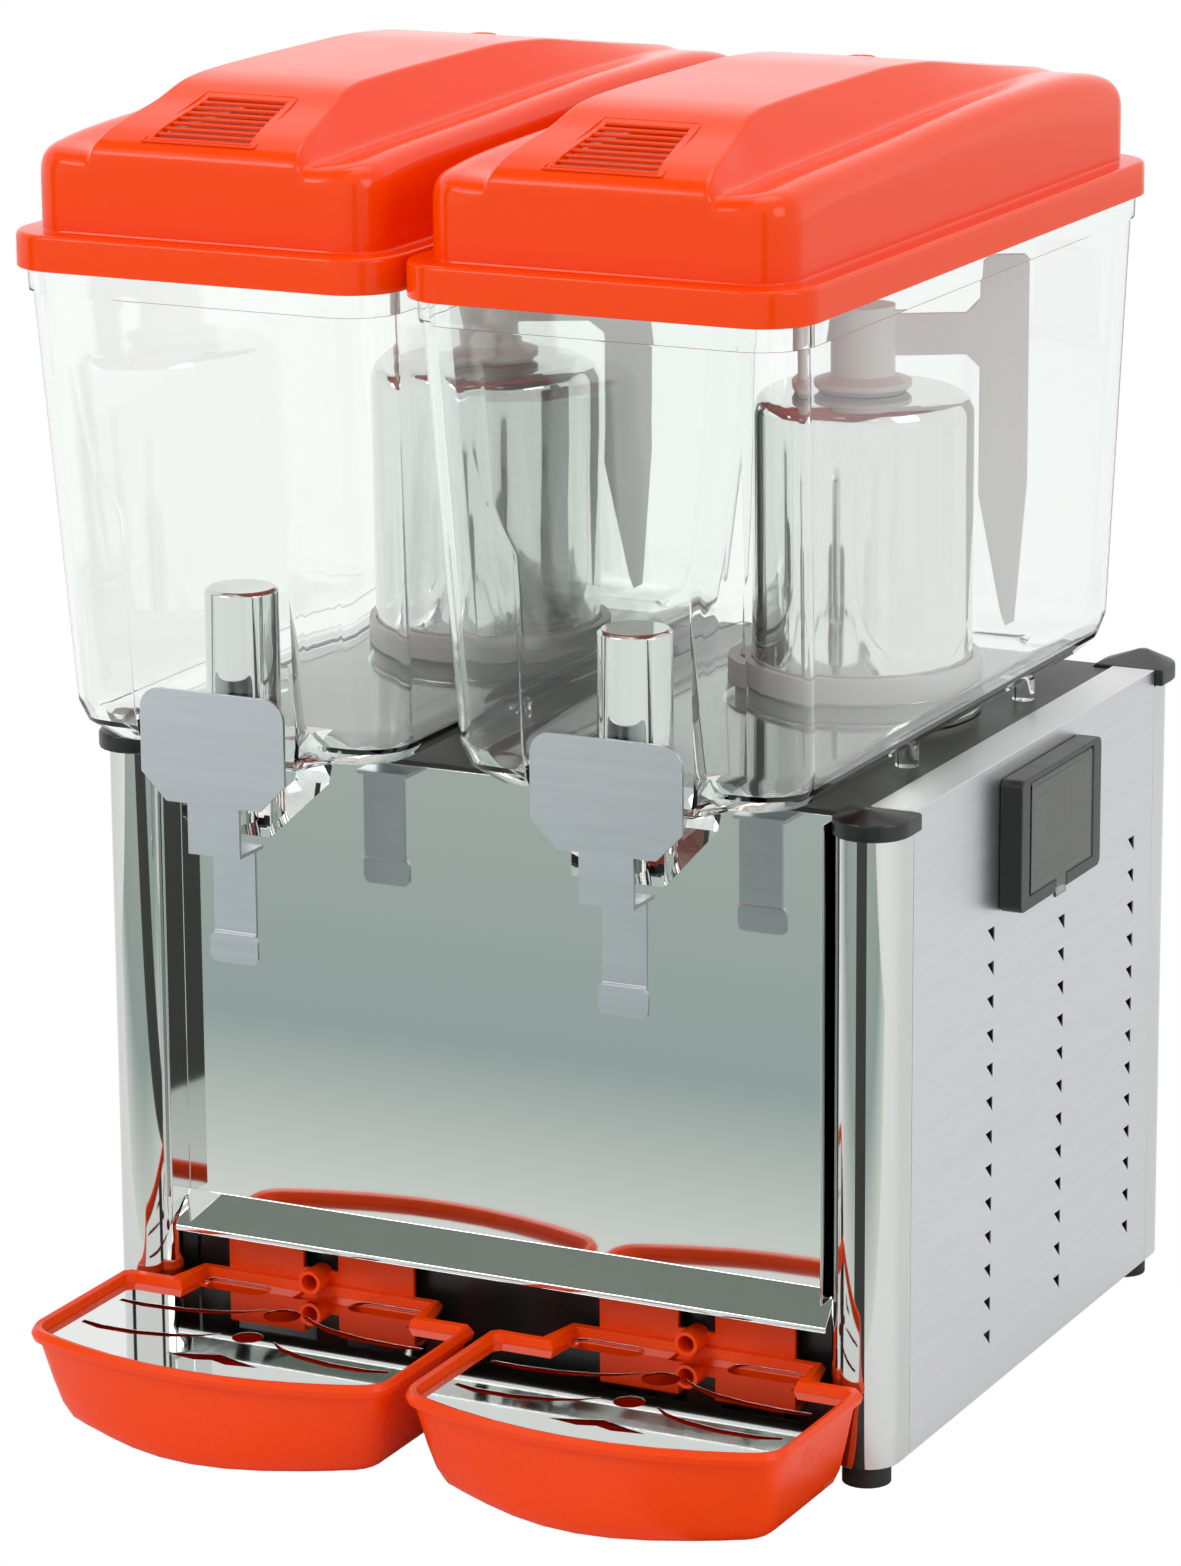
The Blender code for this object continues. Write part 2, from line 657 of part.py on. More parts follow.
def bowl_ring(middle_x, z, wall, shrink=0.0):
    """One level of the bowl: wall is the inset of the skin, shrink the rounding near the floor."""
    fall = (BAND_LOW_Z - z) / (BAND_LOW_Z - BOWL_FLOOR_Z)
    edge = LID_WALL + RUNNING / 2 + FLANGE_REACH + wall
    half = RIM_WIDTH / 2 - edge - BOWL_SIDE_TAPER * fall - shrink
    front = RIM_FRONT_Y + edge + BOWL_FRONT_TAPER * fall + shrink
    back = RIM_BACK_Y - edge - BOWL_BACK_TAPER * fall - shrink
    if z > RAISED_KINK_HIGH_Z:
        raised = RAISED_TOP_HALF
    elif z < RAISED_KINK_LOW_Z:
        raised = RAISED_LOW_HALF
    else:
        share = (z - RAISED_KINK_LOW_Z) / (RAISED_KINK_HIGH_Z - RAISED_KINK_LOW_Z)
        raised = RAISED_LOW_HALF + (RAISED_TOP_HALF - RAISED_LOW_HALF) * share
    raised -= wall
    rise = max(0.0, (RAISED_FADE_Z - z) / (RAISED_FADE_Z - BOWL_FLOOR_Z))
    front_reach = RAISED_LOW_REACH * rise + RAISED_ROUND_SHARE * shrink
    back_reach = front_reach * BOWL_BACK_TAPER / BOWL_FRONT_TAPER
    slope = BOWL_WALL + front_reach / 3
    radius = max(BOWL_CORNER - wall, GAP)
    points = [(raised - slope, front - front_reach), (raised, front)]
    points += arc(half - radius, front + radius, radius, -90, 0, 4)
    points += arc(half - radius, back - radius, radius, 0, 90, 4)
    points += [(raised, back), (raised - slope, back + back_reach)]
    return mirrored_ring(points, middle_x, z)


def bowl_skin(middle_x, wall):
    """The rings of one skin of the bowl from the floor up to the foot of the rim flange."""
    rings = []
    floor = BOWL_FLOOR_Z + wall
    for angle in (0, 30, 60, 90):
        lift = BOWL_BOTTOM_ROUND * (1 - cos(radians(angle)))
        shrink = BOWL_BOTTOM_ROUND * (1 - sin(radians(angle)))
        rings.append(bowl_ring(middle_x, floor + lift, wall, shrink))
    for z in (RAISED_KINK_LOW_Z, RAISED_KINK_HIGH_Z, RAISED_FADE_Z):
        rings.append(bowl_ring(middle_x, z, wall))
    return rings


def floor_top_z():
    return BOWL_FLOOR_Z + BOWL_WALL


def dome_hole_radius():
    return DOME_RADIUS + BOWL_WALL


def make_bowl(name, side):
    """A clear bowl: two skins joined over a rim flange, with its pegs, its spout and two holes."""
    x = side * BOWL_X
    flange_low = BAND_LOW_Z - FLANGE_HEIGHT
    rim_top = BAND_LOW_Z + BAND_HEIGHT / 2
    rings = bowl_skin(x, 0)
    rings.append(bowl_ring(x, flange_low, 0))
    rings.append(bowl_ring(x, flange_low, -FLANGE_REACH))
    fall_free = [(px, py) for px, py, _ in bowl_ring(x, BAND_LOW_Z, -FLANGE_REACH)]
    rings.append([(px, py, rim_top) for px, py in fall_free])
    inner_free = [(px, py) for px, py, _ in bowl_ring(x, BAND_LOW_Z, BOWL_WALL)]
    rings.append([(px, py, rim_top) for px, py in inner_free])
    rings += reversed(bowl_skin(x, BOWL_WALL))
    bowl = finish_object(name, loft(rings), "clear", smooth=True)

    peg_x = RIM_WIDTH / 2 - BOWL_SIDE_TAPER - 2 * BOWL_BOTTOM_ROUND / 3 - 2 * PEG_RADIUS
    peg_low = DECK_TOP_Z + GAP
    for peg_y in PEG_PLACES:
        for lean in (-1, 1):
            peg = cylinder(
                x + lean * peg_x, peg_y, PEG_RADIUS, peg_low, floor_top_z() - GAP, 12
            )
            fuse(bowl, peg)

    half = SPOUT_WIDTH / 2
    top = floor_top_z() - GAP
    back_y = SPOUT_FRONT_Y + SPOUT_DEPTH
    spout = [
        (SPOUT_FRONT_Y, SPOUT_LOW_Z),
        (back_y, SPOUT_BACK_Z),
        (back_y + (BOWL_FLOOR_Z - SPOUT_BACK_Z) / 2, top),
        (SPOUT_FRONT_Y, top),
    ]
    fuse(bowl, prism(spout, x - half, x + half, "x"))
    boss_half = LEVER_STEM_WIDTH / 2
    boss_radius = PIN_RADIUS * PIN_BOSS_SHARE
    boss_back_y = SPOUT_FRONT_Y + BOWL_WALL
    boss = arc(PIN_Y, PIN_Z, boss_radius, 180, 270, 4)
    boss += [
        (boss_back_y, PIN_Z - boss_radius), (boss_back_y, PIN_Z + 2 * PIN_RADIUS),
        (PIN_Y - boss_radius, PIN_Z + 2 * PIN_RADIUS),
    ]
    fuse(bowl, prism(boss, x - boss_half, x + boss_half, "x"))
    pin_bore = cylinder(
        PIN_Y, PIN_Z, PIN_RADIUS + GAP, x - boss_half - OVERRUN, x + boss_half + OVERRUN, 12, "x"
    )
    outlet = cylinder(x, TAP_Y, OUTLET_RADIUS, SPOUT_LOW_Z - OVERRUN, floor_top_z() + OVERRUN, 16)
    hole = cylinder(
        x, DOME_Y, dome_hole_radius(), BOWL_FLOOR_Z - OVERRUN, floor_top_z() + OVERRUN, 24
    )
    return cut(bowl, pin_bore, outlet, hole)


def revolved(loop, x, y, segments=24):
    """A ring turned from a closed loop of (radius, z) pairs."""
    bm = bmesh.new()
    rows = []
    for step in range(segments):
        angle = 2 * pi * step / segments
        row = [
            bm.verts.new((x + radius * cos(angle), y + radius * sin(angle), z))
            for radius, z in loop
        ]
        rows.append(row)
    for step in range(segments):
        row, following = rows[step], rows[(step + 1) % segments]
        for index in range(len(loop)):
            after = (index + 1) % len(loop)
            bm.faces.new((row[index], following[index], following[after], row[after]))
    return bm


def dome_foot_top_z():
    return DECK_TOP_Z + GAP + DOME_FOOT_THICKNESS


def make_dome(name, side):
    """A polished cooling dome: a drawn cup, upside down, with a foot flange on the deck."""
    inner = DOME_RADIUS - DOME_WALL
    foot_low = DECK_TOP_Z + GAP
    profile = [
        (DOME_RADIUS - DOME_ROUND, DOME_TOP_Z),
        (DOME_RADIUS - DOME_ROUND / 3, DOME_TOP_Z - DOME_ROUND / 3),
        (DOME_RADIUS, DOME_TOP_Z - DOME_ROUND),
        (DOME_RADIUS, dome_foot_top_z()),
        (DOME_FOOT_RADIUS, dome_foot_top_z()),
        (DOME_FOOT_RADIUS, foot_low),
        (inner, foot_low),
        (inner, DOME_TOP_Z - DOME_ROUND),
        (DOME_RADIUS - DOME_ROUND, DOME_TOP_Z - DOME_WALL),
    ]
    return finish_object(name, turned(profile, side * BOWL_X, DOME_Y, 24), "mirror", smooth=True)


def make_gasket(name, side):
    """The white seal between the hole in the bowl's floor and the dome, with a lip over the floor."""
    inner = DOME_RADIUS + GAP
    outer = dome_hole_radius() - GAP
    lip_low = floor_top_z() + GAP
    top = BOWL_FLOOR_Z + GASKET_HEIGHT / 2
    low = dome_foot_top_z() + GAP
    loop = [
        (inner, low), (outer, low), (outer, lip_low), (GASKET_RADIUS, lip_low),
        (GASKET_RADIUS, top), (inner, top),
    ]
    return finish_object(name, revolved(loop, side * BOWL_X, DOME_Y), "white", smooth=True)


def make_paddle(name, side):
    """A white stirrer: a hub that stands on the dome and one arm that carries a hanging blade."""
    x = side * BOWL_X
    low = DOME_TOP_Z + GAP
    top = low + HUB_HEIGHT
    profile = [
        (HUB_DISC_RADIUS - GASKET_HEIGHT / 10, low),
        (HUB_DISC_RADIUS, low + HUB_DISC_HEIGHT / 3),
        (HUB_DISC_RADIUS, low + 2 * HUB_DISC_HEIGHT / 3),
        (HUB_RADIUS, low + HUB_DISC_HEIGHT),
        (HUB_RADIUS, top),
    ]
    origin = (x, DOME_Y, low)
    paddle = finish_object(name, turned(profile, x, DOME_Y), "white", origin, smooth=True)
    inner = BLADE_RADIUS - BLADE_WIDTH
    inner = max(inner, DOME_RADIUS + 2 * RUNNING)
    arm_top = top - ARM_DEPTH
    arm_low = arm_top - ARM_HEIGHT
    fillet = ARM_HEIGHT / 3
    tip_outer = BLADE_RADIUS - BOWL_SIDE_TAPER / 2
    tip_width = BLADE_WIDTH / 4
    outline = [
        (HUB_RADIUS / 2, arm_low),
        (inner - fillet, arm_low),
        (inner, arm_low - fillet),
        (inner, BLADE_SHOULDER_Z),
        (tip_outer - tip_width - fillet / 3, BLADE_TIP_Z + tip_width),
        (tip_outer - tip_width, BLADE_TIP_Z),
        (tip_outer - fillet / 3, BLADE_TIP_Z + fillet / 3),
        (BLADE_RADIUS, BLADE_SHOULDER_Z + tip_width),
        (BLADE_RADIUS, BLADE_TOP_Z - fillet / 2),
        (BLADE_RADIUS - fillet / 2, BLADE_TOP_Z),
        (inner + fillet / 2, BLADE_TOP_Z),
        (inner, BLADE_TOP_Z - fillet / 2),
        (inner, arm_top + fillet),
        (inner - fillet, arm_top),
        (HUB_RADIUS / 2, arm_top),
    ]
    blade = prism(outline, -BLADE_THICKNESS / 2, BLADE_THICKNESS / 2, "y")
    turn = Matrix.Rotation(PADDLE_TURN, 4, "Z")
    bmesh.ops.transform(blade, matrix=Matrix.Translation((x, DOME_Y, 0)) @ turn, verts=blade.verts)
    return fuse(paddle, blade)


def motor_top_z():
    return DECK_TOP_Z - DECK_THICKNESS - GAP


def make_agitator_motor(name, side):
    top = motor_top_z()
    profile = [
        (MOTOR_RADIUS - RUNNING, top - MOTOR_HEIGHT), (MOTOR_RADIUS, top - MOTOR_HEIGHT + RUNNING),
        (MOTOR_RADIUS, top),
    ]
    return finish_object(name, turned(profile, side * BOWL_X, DOME_Y), "steel", smooth=True)


def make_drive_rotor(name, side):
    """The motor's long shaft, with the magnet disc that turns the paddle through the dome's top."""
    low = motor_top_z() + GAP
    top = DOME_TOP_Z - DOME_WALL - RUNNING
    profile = [
        (SHAFT_RADIUS, low), (SHAFT_RADIUS, top - ROTOR_HEIGHT),
        (ROTOR_RADIUS, top - ROTOR_HEIGHT), (ROTOR_RADIUS, top),
    ]
    x = side * BOWL_X
    return finish_object(name, turned(profile, x, DOME_Y, 16), "steel", (x, DOME_Y, low), True)


def make_sleeve(name, side):
    """The polished cup over the outlet, closed at the top, with a port at the floor behind."""
    low = floor_top_z() + GAP
    inner = SLEEVE_RADIUS - SLEEVE_WALL
    profile = [
        (SLEEVE_RADIUS - SLEEVE_WALL, SLEEVE_TOP_Z),
        (SLEEVE_RADIUS, SLEEVE_TOP_Z - SLEEVE_WALL),
        (SLEEVE_RADIUS, low),
        (inner, low),
        (inner, SLEEVE_TOP_Z - SLEEVE_WALL),
    ]
    x = side * BOWL_X
    sleeve = finish_object(name, turned(profile, x, TAP_Y, 24), "mirror", smooth=True)
    port = box(
        x - SLEEVE_RADIUS / 3, x + SLEEVE_RADIUS / 3, TAP_Y, TAP_Y + SLEEVE_RADIUS + OVERRUN,
        low - OVERRUN, low + SLEEVE_RADIUS / 2,
    )
    return cut(sleeve, port)


def plunger_top_z():
    return floor_top_z() + GAP + PLUNGER_HEAD


def make_plunger(name, side):
    """The valve: a head that closes the outlet and a stem that reaches down into the spout."""
    seat = floor_top_z() + GAP
    profile = [
        (PLUNGER_STEM_RADIUS, (SPOUT_LOW_Z + SPOUT_BACK_Z) / 2),
        (PLUNGER_STEM_RADIUS, seat),
        (PLUNGER_RADIUS, seat),
        (PLUNGER_RADIUS, plunger_top_z()),
    ]
    x = side * BOWL_X
    return finish_object(name, turned(profile, x, TAP_Y, 16), "white", (x, TAP_Y, seat), True)


def make_spring(name, side):
    """The return spring between the plunger and the closed top of its sleeve."""
    x = side * BOWL_X
    low = plunger_top_z() + GAP + SPRING_WIRE
    high = SLEEVE_TOP_Z - SLEEVE_WALL - GAP - SPRING_WIRE
    bm = bmesh.new()
    sides = 4
    steps = SPRING_TURNS * SPRING_SEGMENTS
    rows = []
    for step in range(steps + 1):
        angle = 2 * pi * step / SPRING_SEGMENTS
        z = low + (high - low) * step / steps
        row = []
        for corner in range(sides):
            around = 2 * pi * corner / sides
            radius = SPRING_RADIUS + SPRING_WIRE * cos(around)
            height = z + SPRING_WIRE * sin(around)
            row.append(bm.verts.new((x + radius * cos(angle), TAP_Y + radius * sin(angle), height)))
        rows.append(row)
    for row, following in zip(rows, rows[1:]):
        for corner in range(sides):
            after = (corner + 1) % sides
            bm.faces.new((row[corner], row[after], following[after], following[corner]))
    bm.faces.new(list(reversed(rows[0])))
    bm.faces.new(rows[-1])
    return finish_object(name, bm, "steel", (x, TAP_Y, high), smooth=True)


def make_lever(name, side):
    """A push lever folded from brushed sheet: plate, stem, a jog to the back, tail and foot."""
    x = side * BOWL_X
    half = LEVER_PLATE_WIDTH / 2
    low, top = LEVER_PLATE_LOW_Z, LEVER_PLATE_TOP_Z
    plate = [(x - half + LEVER_CHAMFER, low), (x + half - LEVER_CHAMFER, low)]
    plate.append((x + half, low + LEVER_CHAMFER))
    plate += arc(x + half - LEVER_CORNER, top - LEVER_CORNER, LEVER_CORNER, 0, 90, 5)
    plate += arc(x - half + LEVER_CORNER, top - LEVER_CORNER, LEVER_CORNER, 90, 180, 5)
    plate.append((x - half, low + LEVER_CHAMFER))
    back_y = LEVER_Y + LEVER_SHEET
    lever = finish_object(name, prism(plate, LEVER_Y, back_y, "y"), "brushed", (x, PIN_Y, PIN_Z))

    stem_half = LEVER_STEM_WIDTH / 2
    stem = strip(
        [(back_y, low + LEVER_CHAMFER), (back_y, LEVER_BEND_Z), (back_y + LEVER_JOG, LEVER_BEND_Z)],
        -LEVER_SHEET,
    )
    fuse(lever, prism(stem, x - stem_half, x + stem_half, "x"))
    tail_half = LEVER_TAIL_WIDTH / 2
    tail_y = back_y + LEVER_JOG - LEVER_SHEET
    tail_bend = (tail_y - LEVER_SHEET, LEVER_TAIL_LOW_Z - LEVER_SHEET)
    tail = strip(
        [(tail_y, LEVER_BEND_Z), (tail_y, LEVER_TAIL_LOW_Z), tail_bend], -LEVER_SHEET
    )
    fuse(lever, prism(tail, x - tail_half, x + tail_half, "x"))
    foot_half = LEVER_FOOT_WIDTH / 2
    foot_y = tail_y - LEVER_SHEET
    foot = rounded_rectangle(
        x - foot_half, x + foot_half, LEVER_TAIL_LOW_Z - LEVER_FOOT_HEIGHT, LEVER_TAIL_LOW_Z,
        LEVER_FOOT_HEIGHT / 4, 3,
    )
    fuse(lever, prism(foot, foot_y - LEVER_SHEET, foot_y, "y"))

    ear_inner = stem_half + RUNNING
    for lean in (-1, 1):
        x0, x1 = sorted((x + lean * ear_inner, x + lean * (ear_inner + LEVER_SHEET)))
        ear = box(
            x0, x1, back_y - GAP, PIN_Y + 2 * PIN_RADIUS,
            PIN_Z - 2 * PIN_RADIUS, PIN_Z + 2 * PIN_RADIUS,
        )
        fuse(lever, ear)
    reach = stem_half + 2 * LEVER_SHEET + OVERRUN
    return cut(lever, cylinder(PIN_Y, PIN_Z, PIN_RADIUS + GAP, x - reach, x + reach, 12, "x"))


def make_lever_pin(name, side):
    x = side * BOWL_X
    reach = LEVER_STEM_WIDTH / 2 + RUNNING + 2 * LEVER_SHEET
    pin = cylinder(PIN_Y, PIN_Z, PIN_RADIUS, x - reach, x + reach, 12, "x")
    return finish_object(name, pin, "steel", (x, PIN_Y, PIN_Z), smooth=True)


# Stations along a lid's body from its front face to its back face
LID_LENGTH_SHARES = (0, 0.0017, 0.005, 0.011, 0.021, 0.0355, 0.0575, 0.114, 0.1675, 0.2115, 0.334,
                     0.505, 0.627, 0.7494, 0.847, 0.9206, 0.957, 0.9795, 0.9917, 0.998, 1)
# Heights above the band as shares of the ridge's full height, at the stations above
LID_RIDGE_SHARES = (0.527, 0.577, 0.612, 0.649, 0.684, 0.725, 0.765, 0.855, 0.962, 0.988, 1.0,
                    1.0, 0.954, 0.847, 0.756, 0.695, 0.656, 0.573, 0.466, 0.344, 0.191)
LID_VALLEY_SHARES = (0.435, 0.489, 0.519, 0.547, 0.562, 0.565, 0.562, 0.573, 0.585, 0.592, 0.615,
                     0.649, 0.669, 0.679, 0.687, 0.664, 0.626, 0.542, 0.443, 0.321, 0.176)
LID_CREST_SHARES = (0.435, 0.489, 0.524, 0.557, 0.588, 0.611, 0.634, 0.672, 0.689, 0.698, 0.719,
                    0.760, 0.776, 0.765, 0.733, 0.672, 0.611, 0.527, 0.427, 0.305, 0.160)
LID_SIDE_SHARES = (0.313, 0.353, 0.382, 0.405, 0.427, 0.443, 0.462, 0.496, 0.511, 0.519, 0.540,
                   0.580, 0.595, 0.584, 0.553, 0.496, 0.443, 0.374, 0.290, 0.198, 0.090)
# The ridge narrows towards its top: its half width there, as a share of its half width at its foot
LID_RIDGE_TOP_SHARES = (0.99, 0.99, 0.99, 0.98, 0.97, 0.95, 0.93, 0.86, 0.81, 0.80, 0.80,
                        0.80, 0.81, 0.82, 0.84, 0.86, 0.88, 0.90, 0.92, 0.94, 0.95)
# A shoulder's rounding: shares of the margin beside the ridge, and of the rise from side to crest
SHOULDER_IN_SHARES = (0.0, 0.05, 0.17, 0.36)
SHOULDER_UP_SHARES = (0.0, 0.5, 0.87, 1.0)
VALLEY_IN_SHARES = (0.74, 0.92)
VALLEY_UP_SHARES = (0.28, 0.0)


def lid_body(middle_x, inset):
    """The crowned part of a lid as cross-sections from its front face to its back."""
    half = RIM_WIDTH / 2 - LID_INSET - inset
    front = RIM_FRONT_Y + LID_INSET + inset
    back = RIM_BACK_Y - LID_INSET - inset
    rise = RIDGE_TOP_Z - BAND_TOP_Z
    base = BAND_TOP_Z - LID_WALL if inset == 0 else BAND_LOW_Z
    radius = LID_CORNER - inset
    foot = RIDGE_HALF - inset
    rings = []
    rows = zip(
        LID_LENGTH_SHARES, LID_RIDGE_SHARES, LID_VALLEY_SHARES, LID_CREST_SHARES,
        LID_SIDE_SHARES, LID_RIDGE_TOP_SHARES,
    )
    for share, ridge_share, valley_share, crest_share, side_share, top_share in rows:
        y = front + (back - front) * share
        into = min(y - front, back - y, radius)
        width = half - radius + sqrt(max(0.0, radius * radius - (radius - into) ** 2))
        margin = width - foot
        level = BAND_TOP_Z - inset
        tops = [(width, base)]
        for in_share, up_share in zip(SHOULDER_IN_SHARES, SHOULDER_UP_SHARES):
            height = side_share + (crest_share - side_share) * up_share
            tops.append((width - margin * in_share, level + rise * height))
        for in_share, up_share in zip(VALLEY_IN_SHARES, VALLEY_UP_SHARES):
            height = valley_share + (crest_share - valley_share) * up_share
            tops.append((width - margin * in_share, level + rise * height))
        top_half = foot * top_share
        tops.append(((foot + top_half) / 2, level + rise * (valley_share + 2 * ridge_share) / 3))
        tops.append((top_half - (foot - top_half) / 4, level + rise * ridge_share))
        points = [(middle_x + px, y, pz) for px, pz in tops]
        points += [(middle_x - px, y, pz) for px, pz in reversed(tops)]
        rings.append(points)
    return loft(rings)


def make_lid(name, side):
    """An orange lid: a band round the bowl's rim, a crowned body with a ridge, and vent slots."""
    x = side * BOWL_X
    half = RIM_WIDTH / 2
    band = rounded_rectangle(x - half, x + half, RIM_FRONT_Y, RIM_BACK_Y, RIM_CORNER, 5)
    origin = (x, (RIM_FRONT_Y + RIM_BACK_Y) / 2, BAND_LOW_Z)
    lid = finish_object(name, prism(band, BAND_LOW_Z, BAND_TOP_Z), "orange", origin, smooth=True)
    fuse(lid, lid_body(x, 0))
    inner_half = half - LID_WALL
    inner = rounded_rectangle(
        x - inner_half, x + inner_half, RIM_FRONT_Y + LID_WALL, RIM_BACK_Y - LID_WALL,
        RIM_CORNER - LID_WALL, 5,
    )
    cut(lid, prism(inner, BAND_LOW_Z - OVERRUN, BAND_TOP_Z - LID_WALL))
    cut(lid, lid_body(x, LID_WALL))
    slots = bmesh.new()
    pitch = VENT_LENGTH / VENT_SLOTS
    for number in range(VENT_SLOTS):
        y = VENT_FRONT_Y + number * pitch
        width = VENT_WIDTH + (VENT_BACK_WIDTH - VENT_WIDTH) * number / (VENT_SLOTS - 1)
        bmesh.ops.create_cube(
            slots, size=1,
            matrix=Matrix.Translation((x, y, RIDGE_TOP_Z - VENT_CUT_DEPTH / 3))
            @ Matrix.Diagonal((width, VENT_SLOT, VENT_CUT_DEPTH, 1)),
        )
    return cut(lid, slots)


TRAY_BOW_SHARES = (0, 0.22, 0.44, 0.66, 0.80)
TRAY_CORNER_TURN = 70


def tray_ring(middle_x, z, wall=0.0, draft=0.0, belly=0.0):
    """One level of a drip tray: a bowed front, straight sides and a stepped back."""
    half = TRAY_HALF - wall - draft
    corner_y = TRAY_FRONT_CORNER_Y + wall + draft
    bow = TRAY_FRONT_CORNER_Y - TRAY_BULGE_Y
    radius = TRAY_CORNER - wall / 2
    turn = radians(TRAY_CORNER_TURN)
    points = []
    for share in TRAY_BOW_SHARES:
        bowed = 1 - share ** 2
        points.append((half * share, corner_y - bow * bowed - belly * bowed ** 2))
    meet = (half - radius * (1 - cos(turn))) / half
    centre_y = corner_y - bow * (1 - meet ** 2) + radius * sin(turn)
    points += arc(half - radius, centre_y, radius, -TRAY_CORNER_TURN, 0, 4)
    back = TRAY_BACK_Y - wall - draft / 4
    points.append((half, back - TRAY_RIM))
    points.append((half - TRAY_RIM, back))
    step = TRAY_STEP_HALF - wall
    step_y = TRAY_STEP_Y - wall - draft / 4
    points.append((step + 2 * TRAY_RIM - wall, back))
    points.append((step, step_y))
    ring = [(middle_x + x, y, z) for x, y in points]
    ring += [(middle_x - x, y, z) for x, y in reversed(points[1:])]
    return ring


def make_tray(name, side):
    """An orange drip tray with a rolled rim, two hanging tabs with hooks, and a drain spout."""
    x = side * BOWL_X
    roll = TRAY_RIM / 2
    low = TRAY_FLOOR_Z
    inner = TRAY_RIM + TRAY_WALL
    seat_z = TRAY_RIM_Z - TRAY_LEDGE
    under_rim = TRAY_RIM_Z - 2 * TRAY_RIM
    middle_z = (low + under_rim) / 2
    rings = [
        tray_ring(x, low, draft=TRAY_DRAFT + TRAY_ROUND / 2, belly=TRAY_BELLY),
        tray_ring(x, low + TRAY_ROUND / 3, draft=TRAY_DRAFT + TRAY_ROUND / 8, belly=TRAY_BELLY),
        tray_ring(x, low + TRAY_ROUND, draft=TRAY_DRAFT - TRAY_ROUND / 6, belly=TRAY_BELLY),
        tray_ring(x, middle_z, wall=TRAY_RIM / 2, draft=TRAY_DRAFT / 2, belly=TRAY_BELLY / 2),
        tray_ring(x, under_rim, wall=TRAY_RIM),
        tray_ring(x, under_rim, wall=roll / 2),
        tray_ring(x, TRAY_RIM_Z - TRAY_RIM),
        tray_ring(x, TRAY_RIM_Z, wall=roll),
        tray_ring(x, TRAY_RIM_Z - roll / 2, wall=TRAY_RIM + TRAY_WALL / 2),
        tray_ring(x, seat_z, wall=inner),
        tray_ring(x, seat_z, wall=TRAY_RIM + inner),
        tray_ring(x, middle_z, wall=inner, draft=TRAY_DRAFT / 2),
        tray_ring(x, low + TRAY_ROUND + TRAY_WALL, wall=inner, draft=TRAY_DRAFT),
        tray_ring(x, low + TRAY_WALL, wall=TRAY_WALL, draft=TRAY_DRAFT + TRAY_ROUND / 2),
    ]
    origin = (x, TRAY_STEP_Y, TRAY_RIM_Z)
    tray = finish_object(name, loft(rings), "orange", origin, smooth=True)
    tab_y = TRAY_STEP_Y - TRAY_RIM / 2
    tab_top = TRAY_RIM_Z + TAB_HEIGHT
    hook_y = KICK_Y + SHEET + 2 * GAP
    for shift in (-TAB_OFFSET, TAB_OFFSET):
        tab = [
            (tab_y, TRAY_RIM_Z - TRAY_RIM),
            (tab_y + TAB_THICKNESS, TRAY_RIM_Z - TRAY_RIM),
            (tab_y + TAB_THICKNESS, tab_top - TAB_THICKNESS),
            (hook_y, tab_top - TAB_THICKNESS),
            (hook_y, tab_top - HOOK_DROP),
            (hook_y + TAB_THICKNESS, tab_top - HOOK_DROP),
            (hook_y + TAB_THICKNESS, tab_top),
            (tab_y, tab_top),
        ]
        half = TAB_WIDTH / 2
        fuse(tray, prism(tab, x + shift - half, x + shift + half, "x"))
    spout_z = TRAY_RIM_Z + DRAIN_RADIUS / 2
    web = box(
        x - TAB_OFFSET, x + TAB_OFFSET, tab_y, tab_y + TAB_THICKNESS, TRAY_RIM_Z - TRAY_RIM,
        spout_z + DRAIN_RADIUS / 2,
    )
    fuse(tray, web)
    back = tab_y + TAB_THICKNESS
    front = tab_y - DRAIN_LENGTH
    fuse(tray, cylinder(x, spout_z, DRAIN_RADIUS, front, back, 14, "y"))
    return cut(tray, cylinder(x, spout_z, DRAIN_BORE, front - OVERRUN, back + OVERRUN, 12, "y"))


# The grille's slots, as shares of the tray's half width and of its depth from the back step
SLOT_WIDTH_SHARE = 0.055
BACK_ARC_SHARES = (
    (0.11, 0.262), (0.20, 0.312), (0.32, 0.352), (0.50, 0.382), (0.70, 0.392), (0.85, 0.382),
)
FRONT_ARC_SHARES = (
    (0.15, 0.535), (0.23, 0.584), (0.36, 0.622), (0.55, 0.648), (0.74, 0.648), (0.86, 0.624),
)
ARC_WIDTH_SHARES = (0.25, 0.62, 0.92, 1.0, 0.95, 0.60)
OVAL_SHARES = (0.43, 0.095, 0.20, 0.052)    # middle x, middle depth, half length, half height
ROUND_HOLE_SHARES = ((0.29, 0.095), (0.53, 0.078))    # depth, radius
CHEVRON_SHARES = ((0, 0.715), (-0.12, 0.745), (-0.26, 0.775), (-0.09, 0.795), (0, 0.775),
                  (0.09, 0.795), (0.26, 0.775), (0.12, 0.745))


def grate_place(middle_x, x_share, depth_share):
    depth = TRAY_STEP_Y - TRAY_BULGE_Y
    return middle_x + TRAY_HALF * x_share, TRAY_STEP_Y - depth * depth_share


